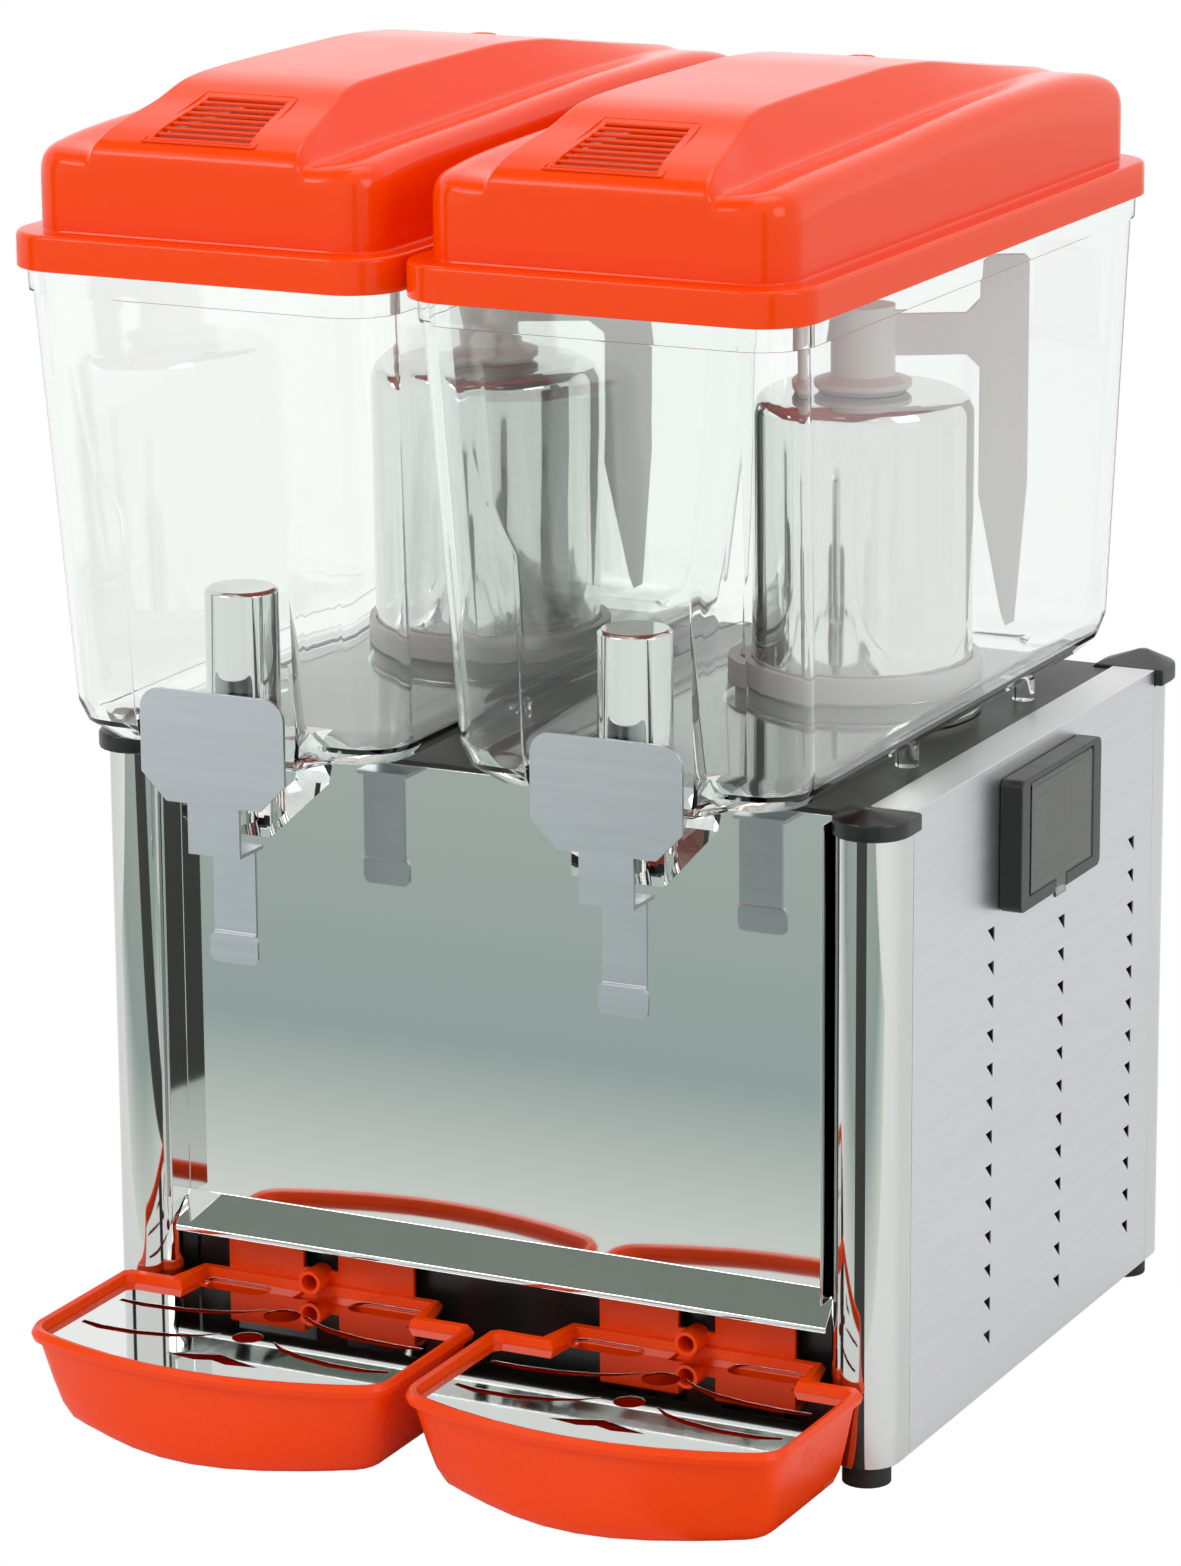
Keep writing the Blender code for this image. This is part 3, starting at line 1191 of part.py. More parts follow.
def curved_slot(middle_x, sign, shares):
    """An arched slot outline along a row of places, thin at its ends."""
    width = SLOT_WIDTH_SHARE * TRAY_HALF
    places = [grate_place(middle_x, sign * x_share, depth) for x_share, depth in shares]
    upper = [(px, py + width * thick / 2) for (px, py), thick in zip(places, ARC_WIDTH_SHARES)]
    lower = [(px, py - width * thick / 2) for (px, py), thick in zip(places, ARC_WIDTH_SHARES)]
    outline = upper + list(reversed(lower))
    return outline if sign > 0 else list(reversed(outline))


def make_grate(name, side):
    """The polished drip grille with its curved slots, two round holes and a chevron."""
    x = side * BOWL_X
    low = TRAY_RIM_Z - TRAY_LEDGE + GAP
    wall = TRAY_RIM + TRAY_WALL + GAP
    rings = [tray_ring(x, low, wall=wall), tray_ring(x, low + GRATE_SHEET, wall=wall)]
    origin = (x, (TRAY_BULGE_Y + TRAY_BACK_Y) / 2, low)
    grate = finish_object(name, loft(rings), "mirror", origin)
    outlines = []
    oval_x, oval_depth, oval_half, oval_rise = OVAL_SHARES
    for sign in (-1, 1):
        outlines.append(curved_slot(x, sign, BACK_ARC_SHARES))
        outlines.append(curved_slot(x, sign, FRONT_ARC_SHARES))
        middle, y = grate_place(x, sign * oval_x, oval_depth)
        reach = TRAY_HALF * oval_half
        rise = (TRAY_STEP_Y - TRAY_BULGE_Y) * oval_rise
        outlines.append(
            rounded_rectangle(middle - reach, middle + reach, y - rise, y + rise, rise - GAP, 4)
        )
    for depth_share, radius_share in ROUND_HOLE_SHARES:
        _, y = grate_place(x, 0, depth_share)
        outlines.append(circle(x, y, TRAY_HALF * radius_share, 16))
    outlines.append([grate_place(x, *shares) for shares in CHEVRON_SHARES])
    notch = DRAIN_RADIUS + 2 * RUNNING
    notch_y = TRAY_STEP_Y - TRAY_RIM / 2 - DRAIN_LENGTH - 2 * RUNNING
    outlines.append(
        [(x - notch, notch_y), (x + notch, notch_y), (x + notch, OVERRUN), (x - notch, OVERRUN)]
    )
    cutters = bmesh.new()
    for outline in outlines:
        piece = prism(outline, low - OVERRUN, low + GRATE_SHEET + OVERRUN)
        mesh = bpy.data.meshes.new("slot")
        piece.to_mesh(mesh)
        piece.free()
        cutters.from_mesh(mesh)
        bpy.data.meshes.remove(mesh)
    return cut(grate, cutters)


def pan_top_z():
    return CASE_LOW_Z + PAN_DROP + SHEET


def make_compressor():
    """The sealed compressor on its base plate."""
    x, y = COMPRESSOR_X, COMPRESSOR_Y
    low = pan_top_z() + GAP
    lift = COMPRESSOR_HEIGHT / 8
    dome = COMPRESSOR_RADIUS / 3
    top = low + COMPRESSOR_HEIGHT
    profile = [
        (COMPRESSOR_RADIUS - dome / 2, low + SHEET), (COMPRESSOR_RADIUS, low + lift),
        (COMPRESSOR_RADIUS, top - dome), (COMPRESSOR_RADIUS - dome / 3, top - dome / 3),
        (COMPRESSOR_RADIUS - dome, top),
    ]
    shell = finish_object("compressor", turned(profile, x, y, 24), "enamel", smooth=True)
    half = COMPRESSOR_RADIUS * COMPRESSOR_FOOT_SHARE
    return fuse(shell, box(x - half, x + half, y - half, y + half, low, low + 3 * SHEET))


def condenser_top_z():
    return pan_top_z() + GAP + CONDENSER_HEIGHT


def make_condenser():
    """The finned heat exchanger behind the kick plate."""
    half = CONDENSER_WIDTH / 2
    y0 = CONDENSER_Y - CONDENSER_DEPTH / 2
    y1 = CONDENSER_Y + CONDENSER_DEPTH / 2
    low = pan_top_z() + GAP
    block = finish_object(
        "condenser", box(FAN_X - half, FAN_X + half, y0, y1, low, condenser_top_z()), "steel"
    )
    pitch = CONDENSER_WIDTH / (CONDENSER_GROOVES + 1)
    height = CONDENSER_HEIGHT * CONDENSER_GROOVE_SHARE
    grooves = bmesh.new()
    middle_z = (low + condenser_top_z()) / 2
    for number in range(CONDENSER_GROOVES):
        x = FAN_X - half + pitch * (number + 1)
        bmesh.ops.create_cube(
            grooves, size=1,
            matrix=Matrix.Translation((x, y0, middle_z))
            @ Matrix.Diagonal((pitch / 2, CONDENSER_DEPTH, height, 1)),
        )
    return cut(block, grooves)


def fan_y():
    return CONDENSER_Y + CONDENSER_DEPTH / 2 + FAN_DEPTH


def make_fan_blade():
    """A hub with twisted blades, turning about an axis that runs from front to back."""
    y = fan_y()
    low, high = y - FAN_DEPTH / 2, y + FAN_DEPTH / 2
    origin = (FAN_X, y, FAN_Z)
    fan = finish_object(
        "fan_blade", cylinder(FAN_X, FAN_Z, FAN_HUB, low, high, 16, "y"), "black", origin, True
    )
    for number in range(FAN_BLADES):
        blade = bmesh.new()
        reach = FAN_RADIUS - FAN_HUB / 2
        shape = (
            Matrix.Translation(((FAN_HUB / 2 + FAN_RADIUS) / 2, 0, 0))
            @ Matrix.Rotation(FAN_TWIST, 4, "X")
            @ Matrix.Diagonal((reach, SHEET, FAN_CHORD_SHARE * FAN_HUB, 1))
        )
        turn = Matrix.Rotation(2 * pi * number / FAN_BLADES, 4, "Y")
        bmesh.ops.create_cube(blade, size=1, matrix=Matrix.Translation(origin) @ turn @ shape)
        fuse(fan, blade)
    return fan


def make_fan_motor():
    """The fan's motor on a leg that stands on the floor pan."""
    front = fan_y() + FAN_DEPTH / 2 + GAP
    start = front + FAN_DEPTH / 3
    back = start + FAN_MOTOR_LENGTH
    motor = finish_object(
        "fan_motor", cylinder(FAN_X, FAN_Z, FAN_MOTOR_RADIUS, start, back, 20, "y"), "steel",
        smooth=True,
    )
    fuse(motor, cylinder(FAN_X, FAN_Z, SHAFT_RADIUS, front, start + GAP, 12, "y"))
    half = FAN_MOTOR_RADIUS * FAN_MOTOR_LEG_SHARE
    low = pan_top_z() + GAP
    fuse(motor, box(FAN_X - half, FAN_X + half, start + SHEET, back - SHEET, low, FAN_Z))
    return motor


def make_discharge_tube():
    """The copper tube from the compressor's top to the condenser's top."""
    x0, y0 = COMPRESSOR_X + COMPRESSOR_RADIUS / 4, COMPRESSOR_Y - COMPRESSOR_RADIUS / 3
    z0 = pan_top_z() + COMPRESSOR_HEIGHT + 3 * GAP
    x1, y1 = FAN_X - CONDENSER_WIDTH / 2 + 4 * TUBE_RADIUS, CONDENSER_Y
    z1 = condenser_top_z() + 2 * GAP
    high = max(z0, z1) + 8 * TUBE_RADIUS
    knots = [
        Vector((x0, y0, z0)), Vector((x0, y0, high - 4 * TUBE_RADIUS)),
        Vector((x0, y0 - 6 * TUBE_RADIUS, high)), Vector((x1, y1 + 6 * TUBE_RADIUS, high)),
        Vector((x1, y1, high - 4 * TUBE_RADIUS)), Vector((x1, y1, z1)),
    ]
    points = []
    steps = 4
    for index in range(len(knots) - 1):
        before = knots[max(index - 1, 0)]
        start, end = knots[index], knots[index + 1]
        after = knots[min(index + 2, len(knots) - 1)]
        for step in range(steps):
            t = step / steps
            points.append(
                0.5 * (2 * start + (end - before) * t
                       + (2 * before - 5 * start + 4 * end - after) * t ** 2
                       + (3 * start - before - 3 * end + after) * t ** 3)
            )
    points.append(knots[-1])
    curve = bpy.data.curves.new("discharge_tube", "CURVE")
    curve.dimensions = "3D"
    curve.bevel_depth = TUBE_RADIUS
    curve.bevel_resolution = 1
    curve.use_fill_caps = True
    spline = curve.splines.new("POLY")
    spline.points.add(len(points) - 1)
    for knot, point in zip(spline.points, points):
        knot.co = (*point, 1)
    tube = bpy.data.objects.new("discharge_tube", curve)
    tube.parent = MACHINE
    bpy.context.scene.collection.objects.link(tube)
    curve.materials.append(finish_material("discharge_tube_finish", *FINISHES["copper"]))
    return tube


def window_halves():
    return SWITCH_WIDTH / 2 - SWITCH_FRAME, SWITCH_HEIGHT / 2 - SWITCH_FRAME / 2


def flap_axis():
    half_z = window_halves()[1]
    return SWITCH_OUT_X - FLAP_PIN, SWITCH_Z + half_z + FLAP_PIN


def rocker_face_x():
    return SIDE_X - 2 * SHEET


def make_switch_housing():
    """The black switch box: a frame outside the panel and a body inside it, open to the front."""
    half_y, half_z = window_halves()
    outline = rounded_rectangle(
        SWITCH_Y - SWITCH_WIDTH / 2, SWITCH_Y + SWITCH_WIDTH / 2,
        SWITCH_Z - SWITCH_HEIGHT / 2, SWITCH_Z + SWITCH_HEIGHT / 2, SWITCH_CORNER, 3,
    )
    housing = finish_object("switch_housing", prism(outline, SIDE_X + GAP, SWITCH_OUT_X, "x"), "black")
    body = box(
        SIDE_X - SWITCH_BODY_DEPTH, SIDE_X + 2 * GAP, SWITCH_Y - half_y, SWITCH_Y + half_y,
        SWITCH_Z - half_z, SWITCH_Z + half_z,
    )
    fuse(housing, body)
    floor_x = rocker_face_x()
    wall = 2 * SHEET
    cavity = box(
        floor_x, SWITCH_OUT_X + OVERRUN, SWITCH_Y - half_y + wall, SWITCH_Y + half_y - wall,
        SWITCH_Z - half_z + wall, SWITCH_Z + half_z - wall,
    )
    axis_x, axis_z = flap_axis()
    seat = box(
        SWITCH_OUT_X - 2 * FLAP_PIN - GAP, SWITCH_OUT_X + OVERRUN, SWITCH_Y - half_y - wall,
        SWITCH_Y + half_y + wall, SWITCH_Z - half_z, axis_z + FLAP_PIN + GAP,
    )
    tab_half = SWITCH_FRAME / 2 + GAP
    notch = box(
        SWITCH_OUT_X - 2 * FLAP_PIN - GAP, SWITCH_OUT_X + OVERRUN, SWITCH_Y - tab_half,
        SWITCH_Y + tab_half, SWITCH_Z - SWITCH_HEIGHT / 2 - OVERRUN, SWITCH_Z - half_z + GAP,
    )
    cut(housing, cavity, seat, notch)
    for _, y in rocker_places():
        pocket = box(
            floor_x - ROCKER_WIDTH / 2, floor_x + OVERRUN, y - ROCKER_WIDTH / 2 - 2 * GAP,
            y + ROCKER_WIDTH / 2 + 2 * GAP, SWITCH_Z - ROCKER_HEIGHT / 2 - 3 * GAP,
            SWITCH_Z + ROCKER_HEIGHT / 2 + 3 * GAP,
        )
        cut(housing, pocket)
    return housing


def rocker_places():
    names = ("rocker_cooling", "rocker_left_bowl", "rocker_right_bowl")
    return [(name, SWITCH_Y + (index - 1) * ROCKER_PITCH) for index, name in enumerate(names)]


def make_rocker(name, y):
    """A rocker key that tips about its middle in its pocket."""
    x = rocker_face_x()
    half_y = ROCKER_WIDTH / 2
    half_z = ROCKER_HEIGHT / 2
    depth = ROCKER_HEIGHT / 8
    outline = [
        (x - depth, SWITCH_Z - half_z + depth), (x - depth, SWITCH_Z + half_z - depth),
        (x, SWITCH_Z + half_z), (x + depth, SWITCH_Z + half_z),
        (x + depth / 2, SWITCH_Z), (x + depth, SWITCH_Z - half_z), (x, SWITCH_Z - half_z),
    ]
    bm = prism(outline, y - half_y, y + half_y, "y")
    finish = "red" if name == "rocker_cooling" else "black"
    return finish_object(name, bm, finish, (x, y, SWITCH_Z))


def make_switch_flap():
    """The smoked flap over the switches, with its hinge barrel and a finger tab."""
    half_y, half_z = window_halves()
    axis_x, axis_z = flap_axis()
    wide = half_y + SHEET
    origin = (axis_x, SWITCH_Y, axis_z)
    barrel = cylinder(axis_x, axis_z, FLAP_PIN, SWITCH_Y - wide, SWITCH_Y + wide, 12, "y")
    flap = finish_object("switch_flap", barrel, "smoke", origin, smooth=True)
    plate = box(
        SWITCH_OUT_X - FLAP_SHEET, SWITCH_OUT_X, SWITCH_Y - wide, SWITCH_Y + wide,
        SWITCH_Z - half_z + GAP, axis_z,
    )
    tab = box(
        SWITCH_OUT_X - FLAP_SHEET, SWITCH_OUT_X, SWITCH_Y - SWITCH_FRAME / 2,
        SWITCH_Y + SWITCH_FRAME / 2, SWITCH_Z - SWITCH_HEIGHT / 2 - 2 * SHEET, SWITCH_Z,
    )
    return fuse(flap, plate, tab)


def build_machine():
    make_base_pan()
    make_front_panel()
    make_kick_plate()
    make_rear_panel()
    make_top_deck()
    make_cord_gland()
    make_compressor()
    make_condenser()
    make_fan_blade()
    make_fan_motor()
    make_discharge_tube()
    make_switch_housing()
    make_switch_flap()
    for name, y in rocker_places():
        make_rocker(name, y)
    for label, side in SIDES:
        make_side_panel(f"{label}_side_panel", side)
        for place, end in (("front", -1), ("rear", 1)):
            make_column(f"column_{place}_{label}", side, end)
            make_cap(f"cap_{place}_{label}", side, end)
            make_foot(f"foot_{place}_{label}", side, end)
        make_bowl(f"bowl_{label}", side)
        make_lid(f"lid_{label}", side)
        make_dome(f"cooling_dome_{label}", side)
        make_gasket(f"bowl_gasket_{label}", side)
        make_paddle(f"paddle_{label}", side)
        make_agitator_motor(f"agitator_motor_{label}", side)
        make_drive_rotor(f"drive_rotor_{label}", side)
        make_sleeve(f"valve_sleeve_{label}", side)
        make_plunger(f"plunger_{label}", side)
        make_spring(f"valve_spring_{label}", side)
        make_lever(f"lever_{label}", side)
        make_lever_pin(f"lever_pin_{label}", side)
        make_tray(f"drip_tray_{label}", side)
        make_grate(f"grille_{label}", side)


clear_scene()
MACHINE = make_machine_empty()
build_machine()
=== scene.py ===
# %% [markdown]
# # A refrigerated juice dispenser with two bowls
# This lesson dresses a finished mechanical model. The model holds every piece at its real size, and the
# cells below give each piece its surface: rounded edges, glossy shells, brushed and mirror steel.
# Nothing here moves or resizes a piece, so each one still turns, lifts or tips about its own joint.

import json
from math import cos, pi, radians, sin, sqrt, tan

import bmesh
import bpy
import numpy as np
from mathutils import Matrix, Vector

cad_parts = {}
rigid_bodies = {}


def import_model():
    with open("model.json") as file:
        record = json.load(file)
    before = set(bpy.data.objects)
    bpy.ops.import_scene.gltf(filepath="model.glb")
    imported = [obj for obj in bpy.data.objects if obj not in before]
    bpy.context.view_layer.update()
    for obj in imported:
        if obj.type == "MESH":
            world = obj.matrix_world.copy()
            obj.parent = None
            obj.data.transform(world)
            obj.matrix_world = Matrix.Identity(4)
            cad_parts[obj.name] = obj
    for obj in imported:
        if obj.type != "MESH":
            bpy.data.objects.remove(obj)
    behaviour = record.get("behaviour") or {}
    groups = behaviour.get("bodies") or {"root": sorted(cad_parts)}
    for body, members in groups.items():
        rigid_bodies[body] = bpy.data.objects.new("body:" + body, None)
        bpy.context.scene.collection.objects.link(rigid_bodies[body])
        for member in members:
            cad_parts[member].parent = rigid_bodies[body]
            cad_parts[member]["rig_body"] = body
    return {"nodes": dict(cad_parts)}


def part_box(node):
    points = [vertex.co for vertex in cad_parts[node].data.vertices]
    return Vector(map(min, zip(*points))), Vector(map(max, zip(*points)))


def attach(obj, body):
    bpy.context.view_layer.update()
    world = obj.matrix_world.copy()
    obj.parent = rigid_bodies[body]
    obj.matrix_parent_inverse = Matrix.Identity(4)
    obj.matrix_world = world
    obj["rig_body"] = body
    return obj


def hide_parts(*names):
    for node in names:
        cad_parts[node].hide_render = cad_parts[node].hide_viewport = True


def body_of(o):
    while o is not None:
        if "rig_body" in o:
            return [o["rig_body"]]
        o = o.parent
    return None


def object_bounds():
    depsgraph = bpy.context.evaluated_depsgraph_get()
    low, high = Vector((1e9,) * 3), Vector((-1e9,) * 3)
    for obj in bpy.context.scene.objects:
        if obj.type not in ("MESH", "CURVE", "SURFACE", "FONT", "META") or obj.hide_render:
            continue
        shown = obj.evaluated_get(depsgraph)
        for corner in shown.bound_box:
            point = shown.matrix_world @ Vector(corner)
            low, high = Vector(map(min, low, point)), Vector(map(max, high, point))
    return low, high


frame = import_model()
cad_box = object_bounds()
nodes = frame["nodes"]
SIDES = ("left", "right")

# %% [markdown]
# ## Camera
# The photograph was taken with a long lens from the front right and a little above. A long lens keeps
# the uprights nearly parallel. The camera's matrix is built from its three axes, so that its small
# roll goes in as an angle too.

# %% Place the camera
CAMERA_PLACE = Vector((1.2174, -2.4664, 1.006))
CAMERA_TURN = radians(26.41)
CAMERA_DIP = radians(14.64)
CAMERA_ROLL = radians(-0.371)
LENS_MM = 136.49
SENSOR_MM = 36.0


def place_camera():
    ahead = cos(CAMERA_DIP)
    forward = Vector((-sin(CAMERA_TURN) * ahead, cos(CAMERA_TURN) * ahead, -sin(CAMERA_DIP)))
    level = Vector((cos(CAMERA_TURN), sin(CAMERA_TURN), 0))
    upright = level.cross(forward)
    right = cos(CAMERA_ROLL) * level + sin(CAMERA_ROLL) * upright
    above = cos(CAMERA_ROLL) * upright - sin(CAMERA_ROLL) * level
    data = bpy.data.cameras.new("camera")
    data.sensor_fit = "VERTICAL"
    data.sensor_height = SENSOR_MM
    data.lens = LENS_MM
    camera = bpy.data.objects.new("camera", data)
    camera.matrix_world = Matrix(
        (
            (right.x, above.x, -forward.x, CAMERA_PLACE.x),
            (right.y, above.y, -forward.y, CAMERA_PLACE.y),
            (right.z, above.z, -forward.z, CAMERA_PLACE.z),
            (0, 0, 0, 1),
        )
    )
    bpy.context.scene.collection.objects.link(camera)
    bpy.context.scene.camera = camera
    return camera


place_camera()

# %% [markdown]
# ## Studio
# A pale floor and a pale world give plastic its true colour. Polished steel shows whatever stands round
# it, so the studio also has dark cards. They lie outside the picture, and only reflections see them:
# they draw the dark stripes that make steel look like steel.

# %% Build the floor, world, lamps and cards
FLOOR_SIZE = 8.0
FLOOR_COLOUR = (0.93, 0.93, 0.93, 1)
WORLD_LIGHT = 0.62
WORLD_SHOWN = 1.0


def node_of(tree, kind, place, **values):
    """Add a shader node and set its inputs by name."""
    node = tree.nodes.new(kind)
    node.location = place
    for name, value in values.items():
        node.inputs[name.replace("_", " ")].default_value = value
    return node


def build_world():
    world = bpy.data.worlds.new("studio")
    world.use_nodes = True
    bpy.context.scene.world = world
    tree = world.node_tree
    shown = node_of(tree, "ShaderNodeBackground", (0, 100))
    shown.inputs["Color"].default_value = (1, 1, 1, 1)
    light = tree.nodes["Background"]
    light.inputs["Color"].default_value = (0.97, 0.985, 1, 1)
    light.inputs["Strength"].default_value = WORLD_LIGHT
    shown.inputs["Strength"].default_value = WORLD_SHOWN
    path = node_of(tree, "ShaderNodeLightPath", (-600, 0))
    first = node_of(tree, "ShaderNodeMath", (-400, 0))
    first.operation = "MAXIMUM"
    second = node_of(tree, "ShaderNodeMath", (-200, 0))
    second.operation = "MAXIMUM"
    mix = node_of(tree, "ShaderNodeMixShader", (200, 0))
    tree.links.new(path.outputs["Is Camera Ray"], first.inputs[0])
    tree.links.new(path.outputs["Is Glossy Ray"], first.inputs[1])
    tree.links.new(first.outputs[0], second.inputs[0])
    tree.links.new(path.outputs["Is Transmission Ray"], second.inputs[1])
    tree.links.new(second.outputs[0], mix.inputs[0])
    tree.links.new(light.outputs[0], mix.inputs[1])
    tree.links.new(shown.outputs[0], mix.inputs[2])
    tree.links.new(mix.outputs[0], tree.nodes["World Output"].inputs["Surface"])


def plane_object(name, size_x, size_y, matrix):
    mesh = bpy.data.meshes.new(name)
    corners = [(-size_x / 2, -size_y / 2, 0), (size_x / 2, -size_y / 2, 0),
               (size_x / 2, size_y / 2, 0), (-size_x / 2, size_y / 2, 0)]
    mesh.from_pydata([matrix @ Vector(corner) for corner in corners], [], [(0, 1, 2, 3)])
    item = bpy.data.objects.new(name, mesh)
    bpy.context.scene.collection.objects.link(item)
    return item


def plain_material(name, colour, roughness):
    material = bpy.data.materials.new(name)
    material.use_nodes = True
    shader = material.node_tree.nodes["Principled BSDF"]
    shader.inputs["Base Color"].default_value = colour
    shader.inputs["Roughness"].default_value = roughness
    return material


def hide_from_all_but_reflections(item):
    item.visible_camera = False
    item.visible_diffuse = False
    item.visible_shadow = False
    item.visible_transmission = False


def build_floor():
    floor = plane_object("floor", FLOOR_SIZE, FLOOR_SIZE, Matrix.Translation((0, 0, cad_box[0][2] - 0.0005)))
    material = plain_material("floor_paper", FLOOR_COLOUR, 0.8)
    tree = material.node_tree
    glow = node_of(tree, "ShaderNodeEmission", (0, 300))
    glow.inputs["Color"].default_value = (1, 1, 1, 1)
    glow.inputs["Strength"].default_value = 1.0
    path = node_of(tree, "ShaderNodeLightPath", (-400, 500))
    mix = node_of(tree, "ShaderNodeMixShader", (300, 200))
    share = node_of(tree, "ShaderNodeMath", (-100, 500))
    share.operation = "MAXIMUM"
    tree.links.new(path.outputs["Is Camera Ray"], share.inputs[0])
    tree.links.new(path.outputs["Is Transmission Ray"], share.inputs[1])
    tree.links.new(share.outputs[0], mix.inputs[0])
    tree.links.new(tree.nodes["Principled BSDF"].outputs[0], mix.inputs[1])
    tree.links.new(glow.outputs[0], mix.inputs[2])
    tree.links.new(mix.outputs[0], tree.nodes["Material Output"].inputs["Surface"])
    floor.data.materials.append(material)


def aim(place, target):
    """The matrix of something at a place whose -Z axis looks at the target."""
    look = (Vector(target) - Vector(place)).to_track_quat("-Z", "Y")
    return Matrix.Translation(place) @ look.to_matrix().to_4x4()


LAMPS = (
    ("key_softbox", (-1.5, -1.9, 2.2), (0, 0, 0.3), 1.3, 26.0),
    ("side_softbox", (2.3, -0.6, 1.5), (0, 0, 0.25), 1.1, 12.0),
    ("top_softbox", (0.1, 0.4, 2.8), (0, 0, 0.3), 1.6, 14.0),
)
CARDS = (
    ("card_front_right", (1.05, -1.25, 0.35), (0.2, 0, 0.35), 0.30, 1.9, (0.015, 0.016, 0.015)),
    ("card_left", (-1.7, -0.9, 0.4), (0, 0, 0.3), 0.50, 2.2, (0.015, 0.016, 0.015)),
    ("card_above", (-0.6, -0.5, 1.3), (-0.6, -0.5, 0), 1.3, 0.9, (0.20, 0.24, 0.20)),
)
# The mirror of the front panel shows the floor ahead, here as a glowing sheet of painted reflection tones:
# distance ahead of the origin and tone.
APRON_TONES = (
    (0.30, (0.80, 0.82, 0.78)),
    (0.62, (0.36, 0.44, 0.43)),
    (1.10, (0.42, 0.48, 0.45)),
    (2.60, (0.62, 0.66, 0.64)),
)
APRON_WIDTH = 1.9
# A dark wedge on the floor puts the black stripe on the right front column: its point, the turns of
# its two edges from straight ahead, and its reach.
WEDGE_POINT = (0.188, -0.10)
WEDGE_TURNS = (radians(-19), radians(14))
WEDGE_REACH = 1.7


def build_lamps():
    for name, place, target, size, power in LAMPS:
        data = bpy.data.lights.new(name, "AREA")
        data.shape = "SQUARE"
        data.size = size
        data.energy = power
        lamp = bpy.data.objects.new(name, data)
        lamp.matrix_world = aim(place, target)
        bpy.context.scene.collection.objects.link(lamp)


def build_cards():
    for name, place, target, wide, tall, tone in CARDS:
        card = plane_object(name, wide, tall, aim(place, target))
        card.data.materials.append(plain_material(name + "_paint", (*tone, 1), 0.9))
        hide_from_all_but_reflections(card)


def build_wedge():
    """A dark sheet on the floor ahead of the right front column that only reflections see."""
    x, y = WEDGE_POINT
    z = cad_box[0][2] + 0.0008
    far = [(x + WEDGE_REACH * sin(turn), y - WEDGE_REACH * cos(turn), z) for turn in WEDGE_TURNS]
    mesh = bpy.data.meshes.new("stripe_wedge")
    mesh.from_pydata([(x, y, z), *far], [], [(0, 1, 2)])
    item = bpy.data.objects.new("stripe_wedge", mesh)
    bpy.context.scene.collection.objects.link(item)
    item.data.materials.append(plain_material("wedge_black", (0.012, 0.014, 0.012, 1), 0.9))
    hide_from_all_but_reflections(item)


def build_apron():
    """A glowing sheet on the floor ahead of the machine that only reflections see: it paints the front
    panel's reflection.
    """
    near, far = APRON_TONES[0][0], APRON_TONES[-1][0]
    place = Matrix.Translation((0, -(near + far) / 2, cad_box[0][2] + 0.0004))
    sheet = plane_object("floor_apron", APRON_WIDTH, far - near, place)
    material = bpy.data.materials.new("apron_tones")
    material.use_nodes = True
    tree = material.node_tree
    tree.nodes.remove(tree.nodes["Principled BSDF"])
    coords = node_of(tree, "ShaderNodeTexCoord", (-900, 0))
    split = node_of(tree, "ShaderNodeSeparateXYZ", (-700, 0))
    share = node_of(tree, "ShaderNodeMapRange", (-500, 0), From_Min=-near, From_Max=-far)
    ramp = node_of(tree, "ShaderNodeValToRGB", (-300, 0))
    marks = ramp.color_ramp.elements
    while len(marks) < len(APRON_TONES):
        marks.new(0.5)
    for mark, (distance, tone) in zip(marks, APRON_TONES):
        mark.position = (distance - near) / (far - near)
        mark.color = (*tone, 1)
    glow = node_of(tree, "ShaderNodeEmission", (0, 0))
    tree.links.new(coords.outputs["Object"], split.inputs[0])
    tree.links.new(split.outputs["Y"], share.inputs["Value"])
    tree.links.new(share.outputs["Result"], ramp.inputs[0])
    tree.links.new(ramp.outputs["Color"], glow.inputs["Color"])
    tree.links.new(glow.outputs[0], tree.nodes["Material Output"].inputs["Surface"])
    sheet.data.materials.append(material)
    hide_from_all_but_reflections(sheet)


build_world()
build_floor()
build_apron()
build_wedge()
build_lamps()
build_cards()
bpy.context.scene.view_settings.view_transform = "Standard"
print("studio:", len(LAMPS), "lamps,", len(CARDS), "cards")

# %% [markdown]
# ## Effects that several finishes share
# A shader node group is built once and placed in each material with its own values. The grain group
# stretches a noise along one direction, as a brushing belt leaves it. The film group is a faint, wide
# unevenness: rolled sheet is never perfectly flat, and moulded plastic never perfectly even.

# %% Make the shared node groups


def new_group(name, inputs, outputs):
    group = bpy.data.node_groups.new(name, "ShaderNodeTree")
    for socket, kind, value in inputs:
        made = group.interface.new_socket(socket, in_out="INPUT", socket_type=kind)
        if value is not None:
            made.default_value = value
    for socket, kind in outputs:
        group.interface.new_socket(socket, in_out="OUTPUT", socket_type=kind)
    entry = group.nodes.new("NodeGroupInput")
    entry.location = (-900, 0)
    leave = group.nodes.new("NodeGroupOutput")
    leave.location = (600, 0)
    return group, entry, leave


def ranged(tree, source, low, high, place):
    """Spread a 0 to 1 value between two values of the group's input."""
    step = node_of(tree, "ShaderNodeMapRange", place)
    tree.links.new(source, step.inputs["Value"])
    tree.links.new(low, step.inputs["To Min"])
    tree.links.new(high, step.inputs["To Max"])
    return step.outputs["Result"]


